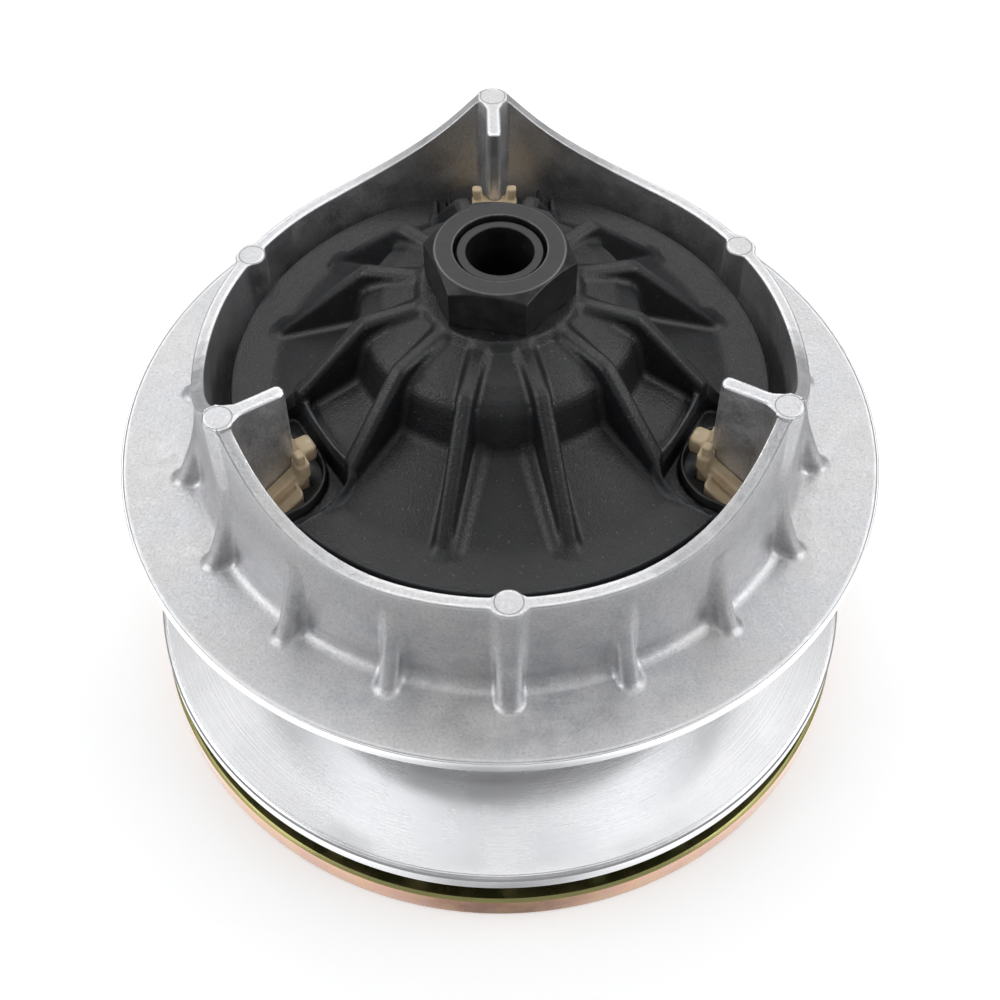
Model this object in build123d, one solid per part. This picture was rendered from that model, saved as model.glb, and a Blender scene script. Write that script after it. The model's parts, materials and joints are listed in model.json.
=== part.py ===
from build123d import *

import math
import os

# Drive pulley of a belt transmission, millimetres, +Z along the shaft towards the nut.
# The origin is the centre of the bottom face. Towers stand at 90, 210 and 330 degrees,
# and the low points of the crown wall, with the levers behind them, at 270, 30 and 150.

TOWERS = (90, 210, 330)
VALLEYS = (270, 30, 150)

# Sheaves
RIM_R = 100.0
FLANK_DEG = 13.0
FLANK = math.tan(math.radians(FLANK_DEG))
TRAVEL = 23.0
FIXED_RIM_Z = 20.3
FIXED_RIM_THICK = 4.4
FLANGE_TOP_Z = 84.0
FLANGE_THICK = 3.5
FLANGE_LOW_Z = FLANGE_TOP_Z - FLANGE_THICK
PLATE_THICK = 6.5

# Crown wall of the sliding sheave
WALL_IN_R = 73.7
WALL_TOP_R = 77.0
WALL_FOOT_R = 79.0
TOWER_Z = 134.5
VALLEY_Z = 113.2
TOWER_HALF_TOP = 3.4
FLANK_ARC_R = 55.0
PAD_R = 3.65
PAD_CENTRE_R = 75.0
GUSSET_COUNT = 18
GUSSET_THICK = 4.2
GUSSET_FOOT_R = 85.8
GUSSET_TOP_R = 77.5
GUSSET_TOP_Z = 105.5
WEB_IN_R = 58.4
WEB_HALF = 1.9

# Shaft, sleeve and hub
SHAFT_LOW_Z = 6.0
SHAFT_FOOT_R = 20.0
SHAFT_STEP_Z = 42.0
SHAFT_R = 12.5
JOURNAL_Z = 127.0
JOURNAL_R = 11.5
THREAD_R = 10.95
THREAD_LOW_Z = 137.4
SHAFT_TOP_Z = 148.6
SHAFT_END_R = 10.1
TAPER_MOUTH_R = 14.5
TAPER_END_R = 11.0
TAPER_END_Z = 38.0
BOLT_BORE_R = 6.6
WELL_R = 8.0
WELL_Z = 132.0
SLEEVE_R = 24.0
SLEEVE_TOP_Z = 93.5
FIXED_HUB_R = 31.0
BACK_RIM_R = 94.0
BACK_HUB_R = 34.0
BACK_HUB_THICK = 7.0
FIXED_HUB_TOP_Z = FIXED_RIM_Z + (RIM_R - FIXED_HUB_R) * FLANK
RUN_FIT = 0.05
SEAT_FIT = 0.02
END_GAP = 0.2
# How far an added shape reaches into what carries it, and a cutter past what it cuts
SINK = 2.0

# Belt bearing
BELT_R = 29.5
BELT_LOW_Z = 37.2
BELT_TOP_Z = 61.0
RACE_R = 27.0
NEEDLE_R = 1.46
NEEDLE_COUNT = 18
NEEDLE_LOW_Z = 40.0
NEEDLE_TOP_Z = 58.2
WASHER_THICK = 0.8
WASHER_OUT_R = 29.0
CAGE_GAP = 0.4
CAGE_INSET = 0.8
CAGE_CLEAR = 0.3

# Hub of the sliding sheave, its bushes, cover and spring
HUB_BORE_R = 30.5
HUB_R = 34.5
TUBE_R = 29.3
TUBE_IN_R = 27.0
TUBE_TOP_Z = 124.0
BUSH_LOW_Z = 87.0
BUSH_TOP_Z = 93.2
BUSH_SHELF = 1.6
BUSH_SHELF_R = 25.2
COVER_LOW_Z = 117.0
COVER_TOP_Z = 121.0
CLIP_THICK = 1.4
CLIP_DEPTH = 1.0
CLIP_IN_R = 24.5
CLIP_GAP_HALF = 4.0
SEAT_IN_R = 13.0
BOSS_R = 18.0
BOSS_TOP_Z = 126.0
SMALL_BUSH_R = 15.0
SPRING_MEAN_R = 16.3
WIRE_R = 2.0
SPRING_TURNS = 6.5
SPRING_LOW_Z = 44.0
SPRING_TOP_Z = 115.5
SEAT_R = 19.5

# Fan ring
RING_R = 100.5
RING_TOP_Z = 8.4
RING_LAND_R = 92.0
RING_IN_R = 76.0
RING_WEB_Z = 5.0
FIN_COUNT = 24
FIN_THICK = 3.0
FIN_OUT_R = 95.0
SCREW_COUNT = 6
SCREW_CIRCLE_R = 84.0
SCREW_R = 3.0
SCREW_HEAD_R = 5.5
SCREW_LOW_Z = 1.6
SCREW_TOP_Z = 15.0
BOSS_HALF = 6.0
BOSS_SCREW_TOP_Z = 18.5
SOCKET_R = 2.6
SOCKET_DEPTH = 1.8
RING_CHAMFER = 1.0

# Governor cup
CUP_TOP_Z = 137.8
CUP_HUB_R = 19.0
CUP_SHOULDER = ((20.5, 135.6), (28.5, 133.4), (33.0, 130.6), (34.6, 127.5))
CUP_CAVITY_R = 31.0
CUP_CAVITY_Z = 128.0
CUP_BOSS_R = 18.5
CUP_EDGE_R = 68.6
CUP_EDGE_Z = 106.3
CUP_EDGE_LOW_Z = 102.3
SKIRT_IN_R = 36.5
SKIRT_TOP_Z = 118.0
SKIRT_OUT_R = 57.0
SKIRT_LOW_Z = 107.5
RIB_COUNT = 12
RIB_THICK = 4.0
RIB_FIRST_DEG = 15.0
RIB_CREST = ((16.0, 137.4), (33.0, 135.7), (36.0, 134.0), (60.5, 106.5))
RIB_ROOT = ((57.0, 105.0), (35.5, 115.5), (33.0, 130.0), (16.0, 131.0))
SLOT_CENTRE_R = 64.5
SLOT_HALF = 13.0
POCKET_HALF = 15.7
POCKET_IN_R = 50.5
POCKET_FLOOR_Z = 104.5
POCKET_LOW_Z = 98.0
POCKET_WALL = 2.0
POCKET_WALL_Z = 108.4
POCKET_SINK = 0.7
POCKET_EDGE_INSET = 0.6

# Slider guides and their cushions
GUIDE_LOW_Z = 100.0
GUIDE_OUT_R = 69.0
GUIDE_BODY_IN_R = 60.6
GUIDE_BODY_HALF = 9.5
GUIDE_BODY_TOP = (107.0, 101.2)
GUIDE_RAIL_IN_R = 57.0
GUIDE_RAIL_HALF = 5.3
GUIDE_RAIL_TOP = (111.7, 104.3)
GUIDE_END_HALF = 6.2
GUIDE_END = ((60.2, 104.5), (60.2, 112.3), (56.8, 112.3), (56.8, 108.0))
GUIDE_POST = ((57.6, 60.2), (3.4, 6.2), (109.0, 116.4))
GUIDE_LUG = ((53.0, 57.5), (-2.8, 2.8), (108.5, 113.2))
GUIDE_GAP = 0.15
CUSHION_OUT_R = 68.1
CUSHION_LOW_Z = 99.0
CUSHION_TOP_Z = 103.5
LIP_TOP_Z = 107.3
LIP_WIDTH = 0.8

# Nut
NUT_ACROSS_FLATS = 32.0
NUT_TOP_Z = 149.7
NUT_BORE_R = 11.0
NUT_TURN_DEG = 48.0
NUT_CHAMFER_R = 15.5
NUT_CHAMFER_DEG = 30.0

# Levers, rollers and ramps
LEVER_PIVOT_R = 65.0
LEVER_PIVOT_Z = 86.5
LEVER_ARM = 30.0
LEVER_REST_DEG = 20.0
LEVER_SWING_DEG = 50.0
LEVER_IN_Y = 4.4
LEVER_OUT_Y = 7.4
LEVER_EYE_R = 5.5
LEVER_TIP_R = 4.5
PIN_R = 3.0
ROLLER_PIN_R = 2.5
ROLLER_R = 7.0
ROLLER_HALF = 4.0
LUG_IN_Y = 7.8
LUG_OUT_Y = 11.8
LUG_R = 6.0
RAMP_HALF = 3.8
RAMP_GAP = 0.15
RAMP_STEPS = 10
RAMP_START = -0.12
RAMP_SPAN = 1.2
RAMP_ROOF_SINK = 3.0
CLIP_RING_R = 5.0
CLIP_RING_THICK = 0.8
PIN_END = 2.0


def lathe(*points):
    """A solid of revolution about Z from (radius, height) corners."""
    section = make_face(Plane.XZ * Polyline(*points, close=True))
    return revolve(section, Axis.Z, 360)


def ring(inner, outer, low, high):
    return lathe((inner, low), (outer, low), (outer, high), (inner, high))


def turned(shape, degrees):
    return Rot(0, 0, degrees) * shape


def around(shape, count, first=0.0):
    """Copies of a shape, evenly spaced about Z."""
    return [turned(shape, first + 360.0 * k / count) for k in range(count)]


def block(x, y, z):
    """A box from three (low, high) pairs."""
    size = [high - low for low, high in (x, y, z)]
    centre = [(high + low) / 2 for low, high in (x, y, z)]
    return Pos(*centre) * Box(*size)


def radial_plate(points, half):
    """A plate in the XZ plane from (radius, height) corners, centred on y = 0."""
    section = make_face(Plane.XZ * Polyline(*points, close=True))
    return extrude(section, half, both=True)


def barrel(x, z, radius, low_y, high_y):
    """A cylinder along Y."""
    middle = (low_y + high_y) / 2
    return Pos(x, middle, z) * Rot(90, 0, 0) * Cylinder(radius, high_y - low_y)


def slot_shape(centre, half, outer, low, high):
    """A U outline, round end inwards, as a prism along Z."""
    bar = block((centre, outer), (-half, half), (low, high))
    round_end = Pos(centre, 0, (low + high) / 2) * Cylinder(half, high - low)
    inner_half = block((centre - half, centre), (-half, half), (low, high))
    return bar + (round_end & inner_half)


def sliding_face_z(radius):
    """Height of the sliding sheave's belt face."""
    return FLANGE_LOW_Z - (RIM_R - radius) * FLANK


def fixed_face_z(radius):
    """Height of the fixed sheave's belt face."""
    return FIXED_RIM_Z + (RIM_R - radius) * FLANK


def make_fixed_sheave():
    rim_low = FIXED_RIM_Z - FIXED_RIM_THICK
    bore = SHAFT_FOOT_R + SEAT_FIT
    back_in = (BACK_HUB_R, fixed_face_z(BACK_HUB_R) - BACK_HUB_THICK)
    back_out = (BACK_RIM_R, rim_low)
    body = lathe(
        (bore, RING_TOP_Z),
        (FIXED_HUB_R, RING_TOP_Z),
        (FIXED_HUB_R, back_in[1]),
        back_in,
        back_out,
        (RIM_R, rim_low),
        (RIM_R, FIXED_RIM_Z),
        (FIXED_HUB_R, FIXED_HUB_TOP_Z),
        (bore, FIXED_HUB_TOP_Z),
    )
    fin = radial_plate(
        [
            (FIXED_HUB_R - SINK, RING_TOP_Z),
            (FIN_OUT_R, RING_TOP_Z),
            (FIN_OUT_R, rim_low + SINK),
            (FIXED_HUB_R - SINK, back_in[1] + SINK),
        ],
        FIN_THICK / 2,
    )
    body += around(fin, FIN_COUNT)
    boss = Pos(SCREW_CIRCLE_R, 0, 0) * block(
        (-BOSS_HALF, BOSS_HALF), (-BOSS_HALF, BOSS_HALF), (RING_TOP_Z, BOSS_SCREW_TOP_Z)
    )
    hole = Pos(SCREW_CIRCLE_R, 0, (RING_TOP_Z + SCREW_TOP_Z) / 2) * Cylinder(
        SCREW_R + SEAT_FIT, SCREW_TOP_Z - RING_TOP_Z + END_GAP
    )
    body += around(boss, SCREW_COUNT)
    return body - around(hole, SCREW_COUNT)


def make_fan_ring():
    body = lathe(
        (RING_LAND_R, 0),
        (RING_R - RING_CHAMFER / 2, 0),
        (RING_R, RING_CHAMFER / 2),
        (RING_R, RING_TOP_Z - RING_CHAMFER),
        (RING_R - RING_CHAMFER, RING_TOP_Z),
        (RING_IN_R, RING_TOP_Z),
        (RING_IN_R, RING_WEB_Z),
        (RING_LAND_R, RING_WEB_Z),
    )
    hole = Pos(SCREW_CIRCLE_R, 0, RING_WEB_Z) * Cylinder(SCREW_R + SEAT_FIT, 2 * RING_TOP_Z)
    return body - around(hole, SCREW_COUNT)


def make_fan_ring_screws():
    head = Pos(SCREW_CIRCLE_R, 0, (SCREW_LOW_Z + RING_WEB_Z) / 2) * Cylinder(
        SCREW_HEAD_R, RING_WEB_Z - SCREW_LOW_Z
    )
    socket = Pos(SCREW_CIRCLE_R, 0, SCREW_LOW_Z) * extrude(RegularPolygon(SOCKET_R, 6), SOCKET_DEPTH)
    shank = Pos(SCREW_CIRCLE_R, 0, (RING_WEB_Z + SCREW_TOP_Z) / 2) * Cylinder(
        SCREW_R, SCREW_TOP_Z - RING_WEB_Z
    )
    return Compound(around(head + shank - socket, SCREW_COUNT))


def make_centre_shaft():
    body = lathe(
        (TAPER_MOUTH_R, SHAFT_LOW_Z),
        (SHAFT_FOOT_R, SHAFT_LOW_Z),
        (SHAFT_FOOT_R, SHAFT_STEP_Z),
        (SHAFT_R, SHAFT_STEP_Z),
        (SHAFT_R, JOURNAL_Z),
        (JOURNAL_R, JOURNAL_Z),
        (JOURNAL_R, THREAD_LOW_Z),
        (THREAD_R, THREAD_LOW_Z),
        (THREAD_R, SHAFT_TOP_Z - (THREAD_R - SHAFT_END_R)),
        (SHAFT_END_R, SHAFT_TOP_Z),
        (WELL_R, SHAFT_TOP_Z),
        (WELL_R, WELL_Z),
        (BOLT_BORE_R, WELL_Z),
        (BOLT_BORE_R, TAPER_END_Z),
        (TAPER_END_R, TAPER_END_Z),
    )
    return body


def make_belt_bearing():
    """The sleeve under the idling belt, its needles and cage, and the side washers."""
    sleeve = ring(RACE_R, BELT_R, BELT_LOW_Z, BELT_TOP_Z)
    needle_circle = (SLEEVE_R + RACE_R) / 2
    middle = (NEEDLE_LOW_Z + NEEDLE_TOP_Z) / 2
    length = NEEDLE_TOP_Z - NEEDLE_LOW_Z
    needle = Pos(needle_circle, 0, middle) * Cylinder(NEEDLE_R, length)
    pocket_width = 2 * (NEEDLE_R + CAGE_CLEAR)
    pocket = Pos(needle_circle, 0, middle) * Box(SLEEVE_R, pocket_width, length + 2 * CAGE_CLEAR)
    cage_low = BELT_LOW_Z + CAGE_INSET
    cage = ring(SLEEVE_R + CAGE_GAP, RACE_R - CAGE_GAP, cage_low, BELT_TOP_Z - CAGE_INSET)
    cage -= around(pocket, NEEDLE_COUNT)
    bore = SLEEVE_R + SEAT_FIT
    low_washer = ring(bore, WASHER_OUT_R, FIXED_HUB_TOP_Z, FIXED_HUB_TOP_Z + WASHER_THICK)
    top = BELT_TOP_Z + END_GAP
    top_washer = ring(bore, WASHER_OUT_R, top, top + WASHER_THICK)
    return {
        "belt_bearing_sleeve": sleeve,
        "belt_bearing_needles": Compound(around(needle, NEEDLE_COUNT)),
        "belt_bearing_cage": cage,
        "belt_bearing_washers": Compound([low_washer, top_washer]),
    }


def crown_prism(azimuth):
    """The space under one tower's outline, over the 120 degrees that belong to it."""
    rise = TOWER_Z - VALLEY_Z
    arc_drop = FLANK_ARC_R * (1 - math.cos(math.radians(45)))
    arc_run = FLANK_ARC_R * math.sin(math.radians(45))
    shoulder = TOWER_HALF_TOP + rise - arc_drop
    foot = shoulder + arc_run
    half = RIM_R * math.sin(math.radians(60))
    mid = math.radians(22.5)
    bend = (foot - FLANK_ARC_R * math.sin(mid), VALLEY_Z + FLANK_ARC_R * (1 - math.cos(mid)))
    knee = (shoulder, VALLEY_Z + arc_drop)
    right = Line((foot, VALLEY_Z), (half, VALLEY_Z)) + ThreePointArc((foot, VALLEY_Z), bend, knee)
    right += Line(knee, (TOWER_HALF_TOP, TOWER_Z))
    outline = right + mirror(right, Plane.YZ)
    outline += Line((-TOWER_HALF_TOP, TOWER_Z), (TOWER_HALF_TOP, TOWER_Z))
    outline += Polyline((half, VALLEY_Z), (half, FLANGE_LOW_Z), (-half, FLANGE_LOW_Z), (-half, VALLEY_Z))
    facing = Plane(origin=(0, 0, 0), x_dir=(0, 1, 0), z_dir=(1, 0, 0))
    prism = extrude(facing * make_face(outline.edges()), RIM_R)
    reach = 2 * RIM_R
    corner = reach * math.sin(math.radians(60))
    wedge = make_face(Polyline((0, 0), (reach / 2, -corner), (reach / 2, corner), close=True))
    wedge = extrude(wedge, 2 * TOWER_Z)
    return turned(prism & wedge, azimuth)


def make_wall():
    ring_wall = lathe(
        (WALL_IN_R, sliding_face_z(WALL_IN_R) + SINK),
        (WALL_FOOT_R, sliding_face_z(WALL_FOOT_R) + SINK),
        (WALL_FOOT_R, FLANGE_TOP_Z),
        (WALL_TOP_R, VALLEY_Z),
        (WALL_TOP_R, TOWER_Z),
        (WALL_IN_R, TOWER_Z),
    )
    sectors = [ring_wall & crown_prism(azimuth) for azimuth in TOWERS]
    wall = sectors[0] + sectors[1] + sectors[2]
    for azimuths, top in ((TOWERS, TOWER_Z), (VALLEYS, VALLEY_Z)):
        pad = Pos(PAD_CENTRE_R, 0, (top + FLANGE_TOP_Z) / 2) * Cylinder(PAD_R, top - FLANGE_TOP_Z)
        wall += [turned(pad, azimuth) for azimuth in azimuths]
    gusset = radial_plate(
        [
            (PAD_CENTRE_R, FLANGE_TOP_Z - 1.0),
            (GUSSET_FOOT_R, FLANGE_TOP_Z - 1.0),
            (GUSSET_FOOT_R, FLANGE_TOP_Z),
            (GUSSET_TOP_R, GUSSET_TOP_Z),
            (PAD_CENTRE_R, GUSSET_TOP_Z),
        ],
        GUSSET_THICK / 2,
    )
    return wall + around(gusset, GUSSET_COUNT, first=VALLEYS[0])


def make_web():
    """The inner plate of a tower, which runs in its guide."""
    floor = sliding_face_z(WALL_IN_R) + SINK
    plate = block((WEB_IN_R + WEB_HALF, PAD_CENTRE_R), (-WEB_HALF, WEB_HALF), (floor, TOWER_Z))
    nose = Pos(WEB_IN_R + WEB_HALF, 0, (floor + TOWER_Z) / 2) * Cylinder(WEB_HALF, TOWER_Z - floor)
    return plate + nose


def make_lugs():
    """The pair of ears that holds one lever's pin."""
    base = sliding_face_z(LEVER_PIVOT_R) + SINK
    ears = []
    for side in (-1, 1):
        low, high = sorted((side * LUG_IN_Y, side * LUG_OUT_Y))
        ear = barrel(LEVER_PIVOT_R, LEVER_PIVOT_Z, LUG_R, low, high)
        ear += block(
            (LEVER_PIVOT_R - LUG_R, LEVER_PIVOT_R + LUG_R), (low, high), (base, LEVER_PIVOT_Z)
        )
        ears.append(ear)
    return ears


def make_sliding_sheave():
    floor_in = (HUB_R, sliding_face_z(HUB_R) + PLATE_THICK)
    floor_out = (WALL_IN_R, sliding_face_z(WALL_IN_R) + PLATE_THICK)
    body = lathe(
        (HUB_BORE_R, sliding_face_z(HUB_BORE_R)),
        (RIM_R, FLANGE_LOW_Z),
        (RIM_R, FLANGE_TOP_Z),
        (WALL_IN_R, FLANGE_TOP_Z),
        floor_out,
        floor_in,
        (HUB_R, BUSH_LOW_Z),
        (TUBE_R, BUSH_TOP_Z),
        (TUBE_R, TUBE_TOP_Z),
        (TUBE_IN_R, TUBE_TOP_Z),
        (TUBE_IN_R, BUSH_LOW_Z),
        (BUSH_SHELF_R, BUSH_LOW_Z),
        (BUSH_SHELF_R, BUSH_LOW_Z - BUSH_SHELF),
        (HUB_BORE_R, BUSH_LOW_Z - BUSH_SHELF),
    )
    body += make_wall()
    body += [turned(make_web(), azimuth) for azimuth in TOWERS]
    groove_top = COVER_TOP_Z + CLIP_THICK + RUN_FIT
    groove = ring(TUBE_IN_R - CLIP_DEPTH, TUBE_IN_R + CLIP_DEPTH, COVER_TOP_Z, groove_top)
    body -= groove
    hole_end = LUG_OUT_Y + SINK
    pin_hole = barrel(LEVER_PIVOT_R, LEVER_PIVOT_Z, PIN_R + SEAT_FIT, -hole_end, hole_end)
    for azimuth in VALLEYS:
        body += [turned(ear, azimuth) for ear in make_lugs()]
        body -= turned(pin_hole, azimuth)
    return body


def make_hub_parts():
    """What rides inside the sliding sheave's hub, and the spring it works against."""
    cover = ring(SMALL_BUSH_R, TUBE_IN_R - SEAT_FIT, COVER_LOW_Z, COVER_TOP_Z)
    cover += ring(SMALL_BUSH_R, BOSS_R, COVER_LOW_Z, BOSS_TOP_Z)
    clip_out = TUBE_IN_R + CLIP_DEPTH - RUN_FIT
    clip = ring(CLIP_IN_R, clip_out, COVER_TOP_Z, COVER_TOP_Z + CLIP_THICK)
    clip -= block((0, RIM_R), (-CLIP_GAP_HALF, CLIP_GAP_HALF), (COVER_LOW_Z, TUBE_TOP_Z))
    coil_length = SPRING_TOP_Z - SPRING_LOW_Z - 2 * WIRE_R
    path = Helix(coil_length / SPRING_TURNS, coil_length, SPRING_MEAN_R)
    wire = sweep(Plane(path @ 0, z_dir=path % 0) * Circle(WIRE_R), path, is_frenet=True)
    spring = Pos(0, 0, SPRING_LOW_Z + WIRE_R) * wire
    return {
        "hub_sleeve": ring(SHAFT_FOOT_R + SEAT_FIT, SLEEVE_R, FIXED_HUB_TOP_Z, SLEEVE_TOP_Z),
        "large_bush": ring(SLEEVE_R + RUN_FIT, TUBE_IN_R, BUSH_LOW_Z, BUSH_TOP_Z),
        "small_bush": ring(SHAFT_R + RUN_FIT, SMALL_BUSH_R, COVER_LOW_Z, BOSS_TOP_Z),
        "spring_cover": cover,
        "cover_circlip": clip,
        "return_spring": spring,
        "spring_seat_lower": ring(SEAT_IN_R, SEAT_R, SHAFT_STEP_Z, SPRING_LOW_Z),
        "spring_seat_upper": ring(SEAT_IN_R, SEAT_R, SPRING_TOP_Z, COVER_LOW_Z),
    }


def roller_centre(share):
    """Radius and height of the roller's centre after a share of the travel."""
    angle = math.radians(LEVER_REST_DEG + share * LEVER_SWING_DEG)
    radius = LEVER_PIVOT_R - LEVER_ARM * math.cos(angle)
    height = LEVER_PIVOT_Z - share * TRAVEL + LEVER_ARM * math.sin(angle)
    return radius, height


def ramp_point(share):
    """A point of the ramp, one roller radius and a small gap above the roller's path."""
    step = 0.001
    r0, z0 = roller_centre(share - step)
    r1, z1 = roller_centre(share + step)
    length = math.hypot(r1 - r0, z1 - z0)
    radius, height = roller_centre(share)
    reach = ROLLER_R + RAMP_GAP
    return radius - (z1 - z0) / length * reach, height + (r1 - r0) / length * reach


def make_ramp():
    """The plate under the cup that the roller presses on."""
    curve = [ramp_point(RAMP_START + RAMP_SPAN * k / RAMP_STEPS) for k in range(RAMP_STEPS + 1)]
    face_edge = Spline(*curve)
    start, end = curve[0], curve[-1]
    low_roof = (end[0], SKIRT_LOW_Z - RAMP_ROOF_SINK)
    high_roof = (start[0], SKIRT_TOP_Z - RAMP_ROOF_SINK)
    roof = Polyline(end, low_roof, high_roof, start)
    section = Plane.XZ * make_face([*face_edge.edges(), *roof.edges()])
    return extrude(section, RAMP_HALF, both=True)


def make_governor_cup():
    bore = JOURNAL_R + SEAT_FIT
    skirt_slope = (SKIRT_TOP_Z - SKIRT_LOW_Z) / (SKIRT_OUT_R - SKIRT_IN_R)
    under_foot = CUP_EDGE_LOW_Z + skirt_slope * (SKIRT_OUT_R - CUP_CAVITY_R)
    body = lathe(
        (bore, CUP_TOP_Z),
        (CUP_HUB_R, CUP_TOP_Z),
        *CUP_SHOULDER,
        (SKIRT_IN_R, SKIRT_TOP_Z),
        (SKIRT_OUT_R, SKIRT_LOW_Z),
        (CUP_EDGE_R, CUP_EDGE_Z),
        (CUP_EDGE_R, CUP_EDGE_LOW_Z),
        (SKIRT_OUT_R, CUP_EDGE_LOW_Z),
        (CUP_CAVITY_R, under_foot),
        (CUP_CAVITY_R, CUP_CAVITY_Z),
        (CUP_BOSS_R, CUP_CAVITY_Z),
        (CUP_BOSS_R, JOURNAL_Z),
        (bore, JOURNAL_Z),
    )
    rib = radial_plate([*RIB_CREST, *RIB_ROOT], RIB_THICK / 2)
    body += around(rib, RIB_COUNT, first=RIB_FIRST_DEG)
    outside_y = POCKET_HALF + POCKET_WALL
    housing_x = (POCKET_IN_R - POCKET_WALL, CUP_EDGE_R)
    housing_z = (POCKET_LOW_Z, POCKET_FLOOR_Z + POCKET_SINK)
    housing = block(housing_x, (-outside_y, outside_y), housing_z)
    housing &= Cylinder(CUP_EDGE_R - POCKET_EDGE_INSET, 4 * CUP_TOP_Z)
    inner_wall_x = (POCKET_IN_R - 2 * POCKET_WALL, POCKET_IN_R + POCKET_WALL)
    housing += block(inner_wall_x, (-outside_y, outside_y), (POCKET_LOW_Z, POCKET_WALL_Z))
    pocket = block((POCKET_IN_R, RIM_R), (-POCKET_HALF, POCKET_HALF), (POCKET_FLOOR_Z, TOWER_Z))
    slot = slot_shape(SLOT_CENTRE_R, SLOT_HALF, RIM_R, POCKET_LOW_Z - SINK, TOWER_Z)
    for azimuth in TOWERS:
        body += turned(housing, azimuth)
        body -= turned(pocket, azimuth)
        body -= turned(slot, azimuth)
    body += [turned(make_ramp(), azimuth) for azimuth in VALLEYS]
    return body


def guide_footprint(spread, low, high):
    """The outline of a guide's foot seen along the shaft, grown by a spread, as a prism."""
    body_y = GUIDE_BODY_HALF + spread
    rail_y = GUIDE_RAIL_HALF + spread
    body = block((GUIDE_BODY_IN_R - spread, GUIDE_OUT_R), (-body_y, body_y), (low, high))
    return body + block((GUIDE_RAIL_IN_R - spread, GUIDE_OUT_R), (-rail_y, rail_y), (low, high))


def make_slider_guide():
    """A shoe astride a web's inner edge: a falling two-step rail and an end piece with two posts and a lug."""
    body = radial_plate([*GUIDE_END], GUIDE_END_HALF)
    steps = (
        (GUIDE_BODY_IN_R, GUIDE_BODY_TOP, GUIDE_BODY_HALF),
        (GUIDE_RAIL_IN_R, GUIDE_RAIL_TOP, GUIDE_RAIL_HALF),
    )
    for inner_r, (inner_z, outer_z), half in steps:
        corners = [
            (inner_r, GUIDE_LOW_Z),
            (GUIDE_OUT_R, GUIDE_LOW_Z),
            (GUIDE_OUT_R, outer_z),
            (inner_r, inner_z),
        ]
        body += radial_plate(corners, half)
    post_x, (near_y, far_y), post_z = GUIDE_POST
    body += block(post_x, (near_y, far_y), post_z)
    body += block(post_x, (-far_y, -near_y), post_z)
    body += block(*GUIDE_LUG)
    slot_half = WEB_HALF + GUIDE_GAP
    return body - slot_shape(WEB_IN_R + WEB_HALF, slot_half, RIM_R, GUIDE_LOW_Z - SINK, TOWER_Z)


def make_guide_cushion():
    """The moulded liner between a guide and its slot, with a thin standing lip."""
    outer_half = SLOT_HALF - SEAT_FIT
    below, above = CUSHION_LOW_Z - SINK, LIP_TOP_Z + SINK
    base = slot_shape(SLOT_CENTRE_R, outer_half, CUSHION_OUT_R, CUSHION_LOW_Z, CUSHION_TOP_Z)
    lip = slot_shape(SLOT_CENTRE_R, outer_half, CUSHION_OUT_R, CUSHION_LOW_Z, LIP_TOP_Z)
    lip -= slot_shape(SLOT_CENTRE_R, outer_half - LIP_WIDTH, RIM_R, below, above)
    return (base + lip) - guide_footprint(SEAT_FIT, below, above)


def make_cup_nut():
    height = NUT_TOP_Z - CUP_TOP_Z
    prism = extrude(RegularPolygon(NUT_ACROSS_FLATS / 2, 6, major_radius=False), height)
    prism = Pos(0, 0, CUP_TOP_Z) * turned(prism, NUT_TURN_DEG)
    corner_r = NUT_ACROSS_FLATS / math.sqrt(3)
    drop = (corner_r - NUT_CHAMFER_R) * math.tan(math.radians(NUT_CHAMFER_DEG))
    turning = lathe(
        (NUT_BORE_R, CUP_TOP_Z),
        (corner_r, CUP_TOP_Z),
        (corner_r, NUT_TOP_Z - drop),
        (NUT_CHAMFER_R, NUT_TOP_Z),
        (NUT_BORE_R, NUT_TOP_Z),
    )
    return prism & turning


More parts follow.
